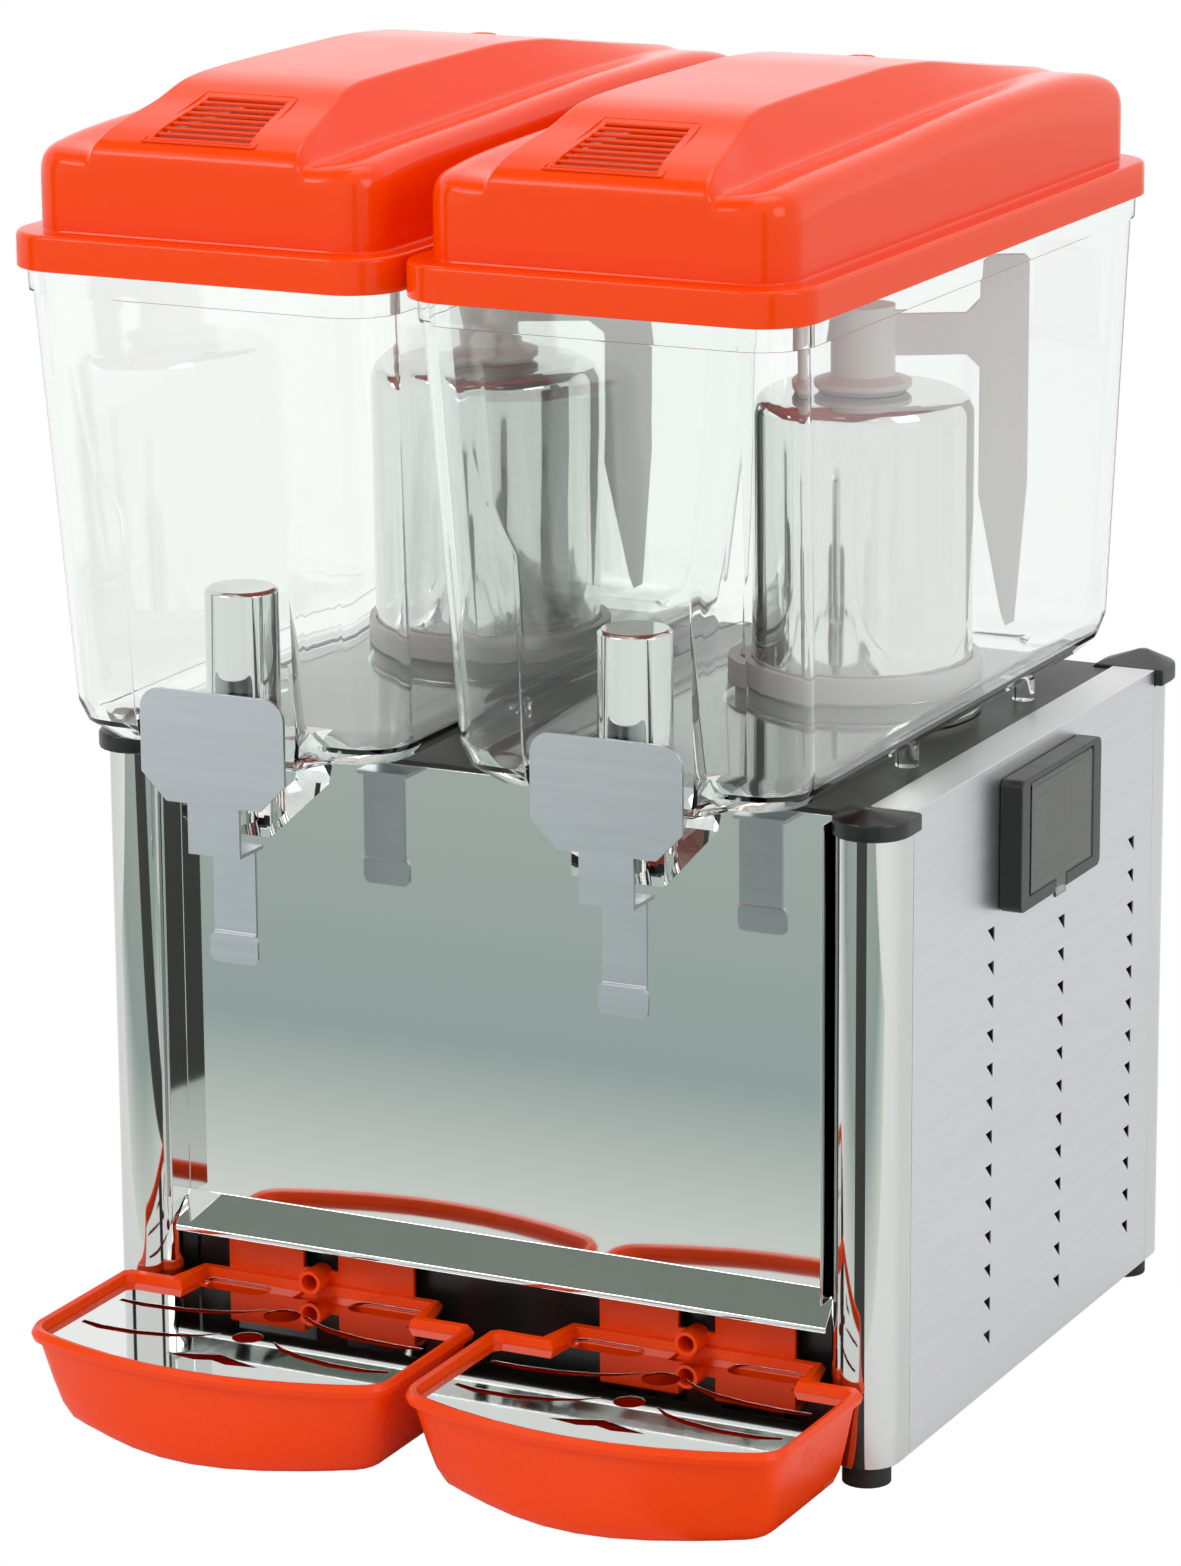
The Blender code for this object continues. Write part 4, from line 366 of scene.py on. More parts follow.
def make_grain_group():
    group, entry, leave = new_group(
        "brushed_grain",
        [("Vector", "NodeSocketVector", None), ("Smooth", "NodeSocketFloat", 0.25),
         ("Rough", "NodeSocketFloat", 0.45), ("Dark", "NodeSocketFloat", 0.8),
         ("Light", "NodeSocketFloat", 1.0)],
        [("Roughness", "NodeSocketFloat"), ("Tone", "NodeSocketFloat"), ("Height", "NodeSocketFloat")],
    )
    fine = node_of(group, "ShaderNodeTexNoise", (-600, 200), Scale=1.0, Detail=4.0, Roughness=0.7)
    broad = node_of(group, "ShaderNodeTexNoise", (-600, -200), Scale=0.23, Detail=2.0, Roughness=0.5)
    for noise in (fine, broad):
        group.links.new(entry.outputs["Vector"], noise.inputs["Vector"])
    blend = node_of(group, "ShaderNodeMath", (-350, 0))
    blend.operation = "MULTIPLY_ADD"
    blend.inputs[1].default_value = 0.6
    half = node_of(group, "ShaderNodeMath", (-500, -50))
    half.operation = "MULTIPLY"
    half.inputs[1].default_value = 0.4
    group.links.new(broad.outputs["Fac"], half.inputs[0])
    group.links.new(fine.outputs["Fac"], blend.inputs[0])
    group.links.new(half.outputs[0], blend.inputs[2])
    rough = ranged(group, blend.outputs[0], entry.outputs["Smooth"], entry.outputs["Rough"], (0, 200))
    tone = ranged(group, blend.outputs[0], entry.outputs["Dark"], entry.outputs["Light"], (0, -100))
    group.links.new(rough, leave.inputs["Roughness"])
    group.links.new(tone, leave.inputs["Tone"])
    group.links.new(fine.outputs["Fac"], leave.inputs["Height"])
    return group


def make_film_group():
    group, entry, leave = new_group(
        "uneven_film",
        [("Vector", "NodeSocketVector", None), ("Scale", "NodeSocketFloat", 9.0),
         ("Smooth", "NodeSocketFloat", 0.05), ("Rough", "NodeSocketFloat", 0.12)],
        [("Roughness", "NodeSocketFloat"), ("Height", "NodeSocketFloat")],
    )
    noise = node_of(group, "ShaderNodeTexNoise", (-600, 0), Detail=3.0, Roughness=0.55)
    group.links.new(entry.outputs["Vector"], noise.inputs["Vector"])
    group.links.new(entry.outputs["Scale"], noise.inputs["Scale"])
    rough = ranged(group, noise.outputs["Fac"], entry.outputs["Smooth"], entry.outputs["Rough"], (0, 0))
    group.links.new(rough, leave.inputs["Roughness"])
    group.links.new(noise.outputs["Fac"], leave.inputs["Height"])
    return group


GRAIN = make_grain_group()
FILM = make_film_group()
print("groups:", GRAIN.name, FILM.name)

# %% [markdown]
# ## Finishes
# Each finish starts from one Principled shader. Metals take their look from roughness alone, so the
# grain drives it. Clear plastic is real refraction through modelled walls. Values that are the same all
# over a surface are written straight on the shader.

# %% Make the finishes


def start_material(name, colour, roughness, metallic=0.0, **plain):
    material = plain_material(name, (*colour, 1), roughness)
    shader = material.node_tree.nodes["Principled BSDF"]
    shader.inputs["Metallic"].default_value = metallic
    for key, value in plain.items():
        shader.inputs[key.replace("_", " ")].default_value = value
    return material, material.node_tree, shader


def place_group(tree, group, stretch, **values):
    """Place a shared group behind object coordinates that are stretched by three factors."""
    where = node_of(tree, "ShaderNodeTexCoord", (-1100, 0))
    mapping = node_of(tree, "ShaderNodeMapping", (-900, 0))
    mapping.inputs["Scale"].default_value = stretch
    used = tree.nodes.new("ShaderNodeGroup")
    used.location = (-650, 0)
    used.node_tree = group
    tree.links.new(where.outputs["Object"], mapping.inputs["Vector"])
    tree.links.new(mapping.outputs["Vector"], used.inputs["Vector"])
    for key, value in values.items():
        used.inputs[key].default_value = value
    return used


def add_bump(tree, shader, height, strength, distance):
    bump = node_of(tree, "ShaderNodeBump", (-300, -300), Strength=strength, Distance=distance)
    tree.links.new(height, bump.inputs["Height"])
    tree.links.new(bump.outputs["Normal"], shader.inputs["Normal"])


def brushed_metal(name, colour, stretch, smooth, rough, bump=0.05):
    material, tree, shader = start_material(name, colour, rough, 1.0)
    grain = place_group(tree, GRAIN, stretch, Smooth=smooth, Rough=rough, Dark=0.84, Light=1.06)
    tint = node_of(tree, "ShaderNodeMix", (-300, 250))
    tint.data_type = "RGBA"
    tint.blend_type = "MULTIPLY"
    tint.inputs["Factor"].default_value = 1.0
    tint.inputs["A"].default_value = (*colour, 1)
    tree.links.new(grain.outputs["Tone"], tint.inputs["B"])
    tree.links.new(tint.outputs["Result"], shader.inputs["Base Color"])
    tree.links.new(grain.outputs["Roughness"], shader.inputs["Roughness"])
    add_bump(tree, shader, grain.outputs["Height"], bump, 0.0004)
    return material


def filmed(name, colour, smooth, rough, scale=9.0, bump=0.0, metallic=0.0, distance=0.001, **plain):
    """A finish whose roughness wanders slightly, with an optional soft unevenness of its surface."""
    material, tree, shader = start_material(name, colour, rough, metallic, **plain)
    film = place_group(tree, FILM, (1, 1, 1), Scale=scale, Smooth=smooth, Rough=rough)
    tree.links.new(film.outputs["Roughness"], shader.inputs["Roughness"])
    if bump:
        add_bump(tree, shader, film.outputs["Height"], bump, distance)
    return material


ALONG_Y = (1400, 14, 1400)
ALONG_X = (14, 1400, 1400)
ALONG_Z = (1400, 1400, 14)
ORANGE = (0.96, 0.060, 0.0)
ACRYLIC_IOR = 1.49

FINISH = {
    "panel_steel": brushed_metal("panel_steel", (0.76, 0.76, 0.77), ALONG_Y, 0.26, 0.44),
    "lever_steel": brushed_metal("lever_steel", (0.72, 0.75, 0.79), ALONG_X, 0.22, 0.42),
    "rear_steel": brushed_metal("rear_steel", (0.60, 0.60, 0.61), ALONG_X, 0.30, 0.48),
    "zinc_sheet": filmed("zinc_sheet", (0.50, 0.51, 0.52), 0.30, 0.55, 60.0, 0.05, 1.0),
    "mirror_steel": filmed("mirror_steel", (0.78, 0.795, 0.78), 0.02, 0.06, 5.0, 0.02, 1.0, 0.004),
    "column_chrome": filmed("column_chrome", (0.70, 0.715, 0.69), 0.02, 0.07, 12.0, 0.0, 1.0),
    "dome_steel": filmed("dome_steel", (0.74, 0.755, 0.735), 0.03, 0.08, 8.0, 0.0, 1.0),
    "orange_gloss": filmed(
        "orange_gloss", ORANGE, 0.10, 0.18, 30.0, 0.03, 0.0, 0.0006, Specular_IOR_Level=0.28
    ),
    "orange_tray": filmed(
        "orange_tray", ORANGE, 0.22, 0.34, 40.0, 0.05, 0.0, 0.0006, Specular_IOR_Level=0.22
    ),
    "black_moulded": filmed("black_moulded", (0.012, 0.014, 0.012), 0.22, 0.40, 60.0, 0.04, 0.0, 0.0004),
    "deck_black": filmed("deck_black", (0.018, 0.020, 0.016), 0.28, 0.50, 14.0, 0.04, 0.0, 0.0006),
    "foot_rubber": filmed("foot_rubber", (0.02, 0.02, 0.02), 0.60, 0.85, 90.0, 0.10, 0.0, 0.0004),
    "white_moulded": filmed(
        "white_moulded", (0.93, 0.93, 0.90), 0.26, 0.42, 25.0, 0.02, 0.0, 0.0005,
        Subsurface_Weight=0.15, Subsurface_Scale=0.004,
    ),
    "red_key": filmed("red_key", (0.55, 0.015, 0.012), 0.18, 0.30, 30.0),
    "copper_tube": filmed("copper_tube", (0.80, 0.42, 0.27), 0.22, 0.42, 40.0, 0.0, 1.0),
    "black_enamel": filmed("black_enamel", (0.016, 0.016, 0.018), 0.24, 0.40, 30.0, 0.05, 0.0, 0.0006),
    "clear_bowl": filmed(
        "clear_bowl", (0.972, 0.992, 0.980), 0.0, 0.025, 6.0, 0.0, 0.0,
        Transmission_Weight=1.0, IOR=ACRYLIC_IOR,
    ),
    "smoked_flap": filmed(
        "smoked_flap", (0.42, 0.45, 0.38), 0.02, 0.08, 10.0, 0.0, 0.0,
        Transmission_Weight=1.0, IOR=ACRYLIC_IOR,
    ),
}
print("finishes:", len(FINISH))

# %% [markdown]
# ## Dressing the carried-over pieces
# Real edges are never perfectly sharp. Each plain piece is copied from the frame, its split vertices are
# joined, its flat faces are cleared of leftover edges, and its sharp edges get a small rounding that
# catches the light. The copy rides the same body, so it moves as the original does.

# %% Round the edges of the plain pieces
EDGE_ANGLE = radians(32)
FLAT_ANGLE = radians(0.05)
SHARP_ANGLE = radians(38)
BOWL_SHARP_ANGLE = radians(24)


def body_of_node(name):
    return body_of(nodes[name])[0]


def copy_of(name, label=None):
    """A cleaned copy of a frame piece: split vertices joined, and flat faces dissolved to one."""
    data = nodes[name].data.copy()
    work = bmesh.new()
    work.from_mesh(data)
    bmesh.ops.remove_doubles(work, verts=work.verts, dist=0.000004)
    bmesh.ops.dissolve_limit(work, angle_limit=FLAT_ANGLE, verts=work.verts, edges=work.edges)
    work.to_mesh(data)
    work.free()
    data.materials.clear()
    made = bpy.data.objects.new(label or name + "_shown", data)
    bpy.context.scene.collection.objects.link(made)
    return made


def round_edges(piece, width, segments=2, sharp=SHARP_ANGLE):
    """Bevel the sharp edges, then shade smooth with weighted normals."""
    if width > 0:
        bevel = piece.modifiers.new("rounded", "BEVEL")
        bevel.width = width
        bevel.segments = segments
        bevel.limit_method = "ANGLE"
        bevel.angle_limit = EDGE_ANGLE
        bevel.harden_normals = False
        bake(piece)
    for face in piece.data.polygons:
        face.use_smooth = True
    piece.data.set_sharp_from_angle(angle=sharp)
    weigh(piece)
    return piece


def bake(piece):
    """Turn the modifiers into plain mesh, so that nothing is computed at render time."""
    bpy.context.view_layer.update()
    graph = bpy.context.evaluated_depsgraph_get()
    fresh = bpy.data.meshes.new_from_object(piece.evaluated_get(graph))
    piece.modifiers.clear()
    old = piece.data
    piece.data = fresh
    bpy.data.meshes.remove(old)


def weigh(piece):
    """Let large flat faces lead the shading, so that they look flat beside their rounded edges."""
    step = piece.modifiers.new("weighted", "WEIGHTED_NORMAL")
    step.keep_sharp = True
    step.weight = 90
    bake(piece)


def settle(piece, node, finish):
    """Give a piece its finish and its body, and let it stand for the frame's own node."""
    piece.data.materials.clear()
    piece.data.materials.append(FINISH[finish])
    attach(piece, body_of_node(node))
    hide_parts(node)
    return piece


def dress(node, finish, width=0.0006, segments=2):
    sharp = BOWL_SHARP_ANGLE if finish == "clear_bowl" else SHARP_ANGLE
    return settle(round_edges(copy_of(node), width, segments, sharp), node, finish)


PLAIN_PIECES = [
    ("base_pan", "zinc_sheet", "plain_steel", 0.0003),
    ("kick_plate", "black_moulded", "black_enamel", 0.0004),
    ("rear_panel", "rear_steel", "brushed_steel", 0.0003),
    ("top_deck", "deck_black", "black_plastic", 0.0010),
    ("front_panel", "mirror_steel", "mirror_steel", 0.0003),
    ("cord_gland", "black_moulded", "black_plastic", 0.0006),
    ("compressor", "black_enamel", "black_enamel", 0.0010),
    ("condenser", "zinc_sheet", "plain_steel", 0.0002),
    ("fan_blade", "black_moulded", "black_plastic", 0.0003),
    ("fan_motor", "black_moulded", "black_enamel", 0.0008),
    ("discharge_tube", "copper_tube", "copper", 0.0002),
    ("switch_housing", "black_moulded", "black_plastic", 0.0008),
    ("switch_flap", "smoked_flap", "smoked_plastic", 0.0004),
    ("rocker_cooling", "red_key", "red_plastic", 0.0006),
    ("rocker_left_bowl", "black_moulded", "black_plastic", 0.0006),
    ("rocker_right_bowl", "black_moulded", "black_plastic", 0.0006),
    ("left_side_panel", "panel_steel", "brushed_steel", 0.0003),
    ("right_side_panel", "panel_steel", "brushed_steel", 0.0003),
]
for side in SIDES:
    for end in ("front", "rear"):
        PLAIN_PIECES += [
            (f"column_{end}_{side}", "column_chrome", "mirror_steel", 0.0003),
            (f"cap_{end}_{side}", "black_moulded", "black_plastic", 0.0010),
            (f"foot_{end}_{side}", "foot_rubber", "rubber", 0.0008),
        ]
    PLAIN_PIECES += [
        (f"bowl_{side}", "clear_bowl", "clear_plastic", 0.0),
        (f"cooling_dome_{side}", "dome_steel", "mirror_steel", 0.0005),
        (f"bowl_gasket_{side}", "white_moulded", "white_plastic", 0.0005),
        (f"paddle_{side}", "white_moulded", "white_plastic", 0.0005),
        (f"agitator_motor_{side}", "black_enamel", "black_enamel", 0.0008),
        (f"drive_rotor_{side}", "black_moulded", "black_plastic", 0.0004),
        (f"valve_sleeve_{side}", "column_chrome", "mirror_steel", 0.0004),
        (f"plunger_{side}", "white_moulded", "white_plastic", 0.0003),
        (f"valve_spring_{side}", "zinc_sheet", "plain_steel", 0.0001),
        (f"lever_{side}", "lever_steel", "brushed_steel", 0.0006),
        (f"lever_pin_{side}", "column_chrome", "mirror_steel", 0.0003),
        (f"drip_tray_{side}", "orange_tray", "orange_plastic", 0.0008),
        (f"grille_{side}", "mirror_steel", "mirror_steel", 0.0003),
    ]

for node, finish, slot_name, width in PLAIN_PIECES:
    dress(node, finish, width)
print("dressed:", len(PLAIN_PIECES))

# %% [markdown]
# ## Tools for smooth shells
# A moulded lid or bowl is a skin of smooth curves. Each one is drawn as a few measured sections, and the
# sections between them are worked out with a curve that never overshoots. Corners of a section get true
# arcs. Lengths below are in metres and are counted from the middle of the machine, the front edge of its
# side panels and the counter top.

# %% Define the shell tools
MIDDLE_X = (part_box("lid_left")[0].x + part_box("lid_right")[1].x) / 2
FRONT_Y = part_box("lid_left")[0].y + 0.1165
BOWL_X = {"left": MIDDLE_X - 0.100, "right": MIDDLE_X + 0.100}


def smooth_table(places, values, wanted):
    """Values at the wanted places, on a curve through the table that never overshoots it."""
    steps = np.diff(places)
    slopes = np.diff(values) / steps
    ends = np.zeros(len(places))
    for index in range(1, len(places) - 1):
        before, after = slopes[index - 1], slopes[index]
        if before * after > 0:
            weight_a = 2 * steps[index] + steps[index - 1]
            weight_b = steps[index] + 2 * steps[index - 1]
            ends[index] = (weight_a + weight_b) / (weight_a / before + weight_b / after)
    ends[0], ends[-1] = slopes[0], slopes[-1]
    found = []
    for place in wanted:
        index = int(np.clip(np.searchsorted(places, place) - 1, 0, len(steps) - 1))
        t = (place - places[index]) / steps[index]
        found.append(
            values[index] * (1 + 2 * t) * (1 - t) ** 2 + values[index + 1] * t * t * (3 - 2 * t)
            + steps[index] * (ends[index] * t * (1 - t) ** 2 - ends[index + 1] * t * t * (1 - t))
        )
    return np.array(found)


def rounded_path(points, radii, arc_steps=6, straight_steps=3):
    """A run of points with true arcs at its corners. Every corner gives the same number of points."""
    spots = [Vector(point) for point in points]
    run = [spots[0]]
    for index in range(1, len(spots) - 1):
        to_last = spots[index - 1] - spots[index]
        to_next = spots[index + 1] - spots[index]
        bend = pi - to_last.angle(to_next)
        reach = min(radii[index - 1] * tan(bend / 2), 0.45 * to_last.length, 0.45 * to_next.length)
        start = spots[index] + to_last.normalized() * reach
        end = spots[index] + to_next.normalized() * reach
        begin = run[-1]
        for step in range(1, straight_steps):
            run.append(begin.lerp(start, step / straight_steps))
        for step in range(arc_steps + 1):
            t = step / arc_steps
            run.append(start * (1 - t) ** 2 + spots[index] * 2 * t * (1 - t) + end * t * t)
    begin = run[-1]
    for step in range(1, straight_steps + 1):
        run.append(begin.lerp(spots[-1], step / straight_steps))
    return run


def outline_ring(middle_x, x_half, front, back, corner, z, steps=10):
    """A level ring shaped as a rounded rectangle."""
    ring = []
    corner = max(corner, 0.0004)
    for cx, cy, turn in ((1, -1, -90), (1, 1, 0), (-1, 1, 90), (-1, -1, 180)):
        px = middle_x + cx * (x_half - corner)
        py = (front + corner) if cy < 0 else (back - corner)
        for step in range(steps + 1):
            angle = radians(turn + 90 * step / steps)
            ring.append((px + corner * cos(angle), FRONT_Y + py + corner * sin(angle), z))
    return ring


def skin(name, rings, closed=True, looped=False, caps=(False, False)):
    """A mesh between rings of equal count: closed rings, and a loop of rings if it is a full tube."""
    mesh = bpy.data.meshes.new(name)
    count = len(rings[0])
    faces = []
    pairs = len(rings) if looped else len(rings) - 1
    for row in range(pairs):
        following = (row + 1) % len(rings)
        for column in range(count if closed else count - 1):
            after = (column + 1) % count
            faces.append(
                (
                    row * count + column, row * count + after,
                    following * count + after, following * count + column,
                )
            )
    if caps[0]:
        faces.append(tuple(reversed(range(count))))
    if caps[1]:
        faces.append(tuple((len(rings) - 1) * count + index for index in range(count)))
    mesh.from_pydata([tuple(point) for ring in rings for point in ring], [], faces)
    work = bmesh.new()
    work.from_mesh(mesh)
    bmesh.ops.remove_doubles(work, verts=work.verts, dist=0.000004)
    bmesh.ops.recalc_face_normals(work, faces=work.faces)
    work.to_mesh(mesh)
    work.free()
    item = bpy.data.objects.new(name, mesh)
    bpy.context.scene.collection.objects.link(item)
    return item


def join(name, pieces):
    """One mesh object from several, each kept as its own shell."""
    work = bmesh.new()
    for piece in pieces:
        work.from_mesh(piece.data)
    mesh = bpy.data.meshes.new(name)
    work.to_mesh(mesh)
    work.free()
    for piece in pieces:
        old = piece.data
        bpy.data.objects.remove(piece, do_unlink=True)
        bpy.data.meshes.remove(old)
    item = bpy.data.objects.new(name, mesh)
    bpy.context.scene.collection.objects.link(item)
    return item


def smooth_by_angle(piece, degrees=38):
    for face in piece.data.polygons:
        face.use_smooth = True
    piece.data.set_sharp_from_angle(angle=radians(degrees))
    return piece


def subtract(piece, cutter):
    """Cut one mesh out of another, and remove the cutter."""
    step = piece.modifiers.new("cut", "BOOLEAN")
    step.operation = "DIFFERENCE"
    step.solver = "EXACT"
    step.object = cutter
    bake(piece)
    old = cutter.data
    bpy.data.objects.remove(cutter, do_unlink=True)
    bpy.data.meshes.remove(old)


def turned_piece(name, x, y, profile, steps=64):
    """A piece turned about a vertical axis from (radius, height) pairs."""
    rings = []
    for step in range(steps):
        angle = 2 * pi * step / steps
        rings.append([(x + r * cos(angle), y + r * sin(angle), z) for r, z in profile])
    return skin(name, rings, closed=False, looped=True)


# %% [markdown]
# ## Lids
# Each lid is a shell: a band round the bowl's rim, a body with rounded corners, two low shoulders, and a
# ridge that rises from the front face and runs to the back. The vent in the ridge's front slope is a row
# of slats, repeated with Geometry Nodes.

# %% Build the lids
LID_BASE = 0.5715
LID_RISE = 0.0655
LID_FRONT, LID_BACK = -0.1065, 0.3024
LID_HALF, LID_CORNER = 0.088, 0.0215
LID_Y = np.array((0, 0.0017, 0.005, 0.011, 0.021, 0.0355, 0.0575, 0.114, 0.1675, 0.2115, 0.334,
                  0.505, 0.627, 0.7494, 0.847, 0.9206, 0.957, 0.9795, 0.9917, 0.998, 1))
LID_RIDGE = np.array((0.527, 0.577, 0.612, 0.649, 0.684, 0.725, 0.765, 0.855, 0.962, 0.988, 0.998,
                      0.996, 0.954, 0.847, 0.756, 0.695, 0.656, 0.573, 0.466, 0.344, 0.191))
LID_VALLEY = np.array((0.435, 0.489, 0.519, 0.547, 0.562, 0.565, 0.562, 0.573, 0.585, 0.592, 0.615,
                       0.649, 0.669, 0.679, 0.687, 0.664, 0.626, 0.542, 0.443, 0.321, 0.176))
LID_CREST = np.array((0.435, 0.489, 0.524, 0.557, 0.588, 0.611, 0.634, 0.672, 0.689, 0.698, 0.719,
                      0.760, 0.776, 0.765, 0.733, 0.672, 0.611, 0.527, 0.427, 0.305, 0.160))
LID_TOP = np.array((0.99, 0.99, 0.99, 0.98, 0.97, 0.95, 0.93, 0.86, 0.81, 0.80, 0.80,
                    0.80, 0.81, 0.82, 0.84, 0.86, 0.88, 0.90, 0.92, 0.94, 0.95))
RIDGE_FOOT = 0.0525
LID_STATIONS = 120
BAND_LOW = 0.555
BAND_HALF, BAND_CORNER = 0.098, 0.026
BAND_FRONT, BAND_BACK = -0.1165, 0.3124
BAND_CORNER_SHARE = 0.45        # how much of an inset the corner radius gives up
LID_SHEET = 0.0025
SHARP_LID_ANGLE = 42
PLUG_PLACES = (-0.005, 0.174)
PLUG_SUNK = 0.0005
VENT_SLOTS = 8
VENT_FRONT, VENT_LENGTH = -0.098, 0.044
VENT_WIDE, VENT_NARROW = 0.050, 0.040


def lid_heights(share):
    """Ridge, valley and crest heights and the ridge's top share, part of the way along the lid."""
    bent = np.arccos(1 - 2 * LID_Y) / pi
    place = [np.arccos(1 - 2 * share) / pi]
    tables = (LID_RIDGE, LID_VALLEY, LID_CREST, LID_TOP)
    return [float(smooth_table(bent, table, place)[0]) for table in tables]


def lid_body(name, x, inset=0.0):
    rings = []
    for station in range(LID_STATIONS + 1):
        share = (1 - cos(pi * station / LID_STATIONS)) / 2
        ridge, valley, crest, top = lid_heights(share)
        y = LID_FRONT + inset + (LID_BACK - LID_FRONT - 2 * inset) * share
        radius = LID_CORNER - inset
        into = min(y - LID_FRONT - inset, LID_BACK - inset - y, radius)
        wide = LID_HALF - inset - radius + sqrt(max(0.0, radius ** 2 - (radius - into) ** 2))
        foot, level = RIDGE_FOOT - inset, LID_BASE - inset
        ridge_z, valley_z, crest_z = (level + LID_RISE * value for value in (ridge, valley, crest))
        half = [
            (wide, 0, LID_BASE - 0.002), (wide, 0, crest_z), (foot + 0.002, 0, valley_z),
            (foot * top, 0, ridge_z), (0, 0, ridge_z + 0.0002),
        ]
        half = rounded_path(half, (0.014, 0.006, 0.0028), arc_steps=8, straight_steps=4)
        full = [Vector((x + p.x, FRONT_Y + y, p.z)) for p in half]
        full += [Vector((x - p.x, FRONT_Y + y, p.z)) for p in reversed(half[:-1])]
        rings.append(full)
    return rings


def lid_band(name, x):
    """The band round the rim: an upright face, a rounded top edge and a shelf up to the body."""
    low, top = BAND_LOW, LID_BASE
    steps = (
        (0.0022, low + 0.0004), (0.0004, low), (0.0, low + 0.0004), (0.0, top - 0.0022),
        (0.00035, top - 0.0010), (0.0010, top - 0.00035), (0.0022, top), (0.0088, top),
        (0.0097, top + 0.0004), (0.0101, top + 0.0014), (0.0112, top + 0.0014),
        (0.0112, top - 0.0022), (0.0025, top - 0.0022),
    )
    rings = [
        outline_ring(
            x, BAND_HALF - inset, BAND_FRONT + inset, BAND_BACK - inset,
            BAND_CORNER - inset * BAND_CORNER_SHARE, z, 14,
        )
        for inset, z in steps
    ]
    return skin(name, rings, looped=True)


def vent_slats_tree():
    """Geometry Nodes: a row of slats that narrows evenly, baked once per lid."""
    tree = bpy.data.node_groups.new("vent_slats", "GeometryNodeTree")
    tree.interface.new_socket("Geometry", in_out="INPUT", socket_type="NodeSocketGeometry")
    for label, kind, value in (("Count", "NodeSocketInt", 9), ("Pitch", "NodeSocketFloat", 0.0055),
                               ("Rise", "NodeSocketFloat", 0.0012), ("Narrowing", "NodeSocketFloat", 0.03)):
        socket = tree.interface.new_socket(label, in_out="INPUT", socket_type=kind)
        socket.default_value = value
    tree.interface.new_socket("Material", in_out="INPUT", socket_type="NodeSocketMaterial")
    tree.interface.new_socket("Geometry", in_out="OUTPUT", socket_type="NodeSocketGeometry")
    entry = tree.nodes.new("NodeGroupInput")
    leave = tree.nodes.new("NodeGroupOutput")
    line = tree.nodes.new("GeometryNodeMeshLine")
    line.mode = "OFFSET"
    offset = tree.nodes.new("ShaderNodeCombineXYZ")
    copies = tree.nodes.new("GeometryNodeInstanceOnPoints")
    index = tree.nodes.new("GeometryNodeInputIndex")
    shrink = tree.nodes.new("ShaderNodeMath")
    shrink.operation = "MULTIPLY"
    size = tree.nodes.new("ShaderNodeMath")
    size.operation = "SUBTRACT"
    size.inputs[0].default_value = 1.0
    scale = tree.nodes.new("ShaderNodeCombineXYZ")
    scale.inputs["Y"].default_value = 1.0
    scale.inputs["Z"].default_value = 1.0
    real = tree.nodes.new("GeometryNodeRealizeInstances")
    paint = tree.nodes.new("GeometryNodeSetMaterial")
    links = (
        (entry, "Count", line, "Count"), (entry, "Pitch", offset, "Y"), (entry, "Rise", offset, "Z"),
        (offset, "Vector", line, "Offset"), (line, "Mesh", copies, "Points"),
        (entry, "Geometry", copies, "Instance"), (index, "Index", shrink, 0), (entry, "Narrowing", shrink, 1),
        (shrink, "Value", size, 1), (size, "Value", scale, "X"), (scale, "Vector", copies, "Scale"),
        (copies, "Instances", real, "Geometry"), (real, "Geometry", paint, "Geometry"),
        (entry, "Material", paint, "Material"), (paint, "Geometry", leave, "Geometry"),
    )
    for source, out, target, into in links:
        tree.links.new(source.outputs[out], target.inputs[into])
    return tree


VENT_TREE = vent_slats_tree()


def box_mesh(name, x0, x1, y0, y1, z0, z1, bevel=0.0):
    mesh = bpy.data.meshes.new(name)
    work = bmesh.new()
    bmesh.ops.create_cube(
        work, size=1,
        matrix=Matrix.Translation(((x0 + x1) / 2, (y0 + y1) / 2, (z0 + z1) / 2))
        @ Matrix.Diagonal((x1 - x0, y1 - y0, z1 - z0, 1)),
    )
    if bevel:
        bmesh.ops.bevel(work, geom=work.edges[:], offset=bevel, segments=3, affect="EDGES", profile=0.5)
    work.to_mesh(mesh)
    work.free()
    item = bpy.data.objects.new(name, mesh)
    bpy.context.scene.collection.objects.link(item)
    return item


def run_nodes(piece, tree, **values):
    """Apply a Geometry Nodes tree with named inputs, and keep only its mesh."""
    step = piece.modifiers.new(tree.name, "NODES")
    step.node_group = tree
    for item in tree.interface.items_tree:
        if item.item_type == "SOCKET" and item.in_out == "INPUT" and item.name in values:
            step[item.identifier] = values[item.name]
    bake(piece)
    return piece


def vent_slope():
    """Height of the ridge at the vent's front and back ends."""
    spots = []
    for y in (VENT_FRONT, VENT_FRONT + VENT_LENGTH):
        ridge = lid_heights((y - LID_FRONT) / (LID_BACK - LID_FRONT))[0]
        spots.append(LID_BASE + LID_RISE * ridge)
    return spots


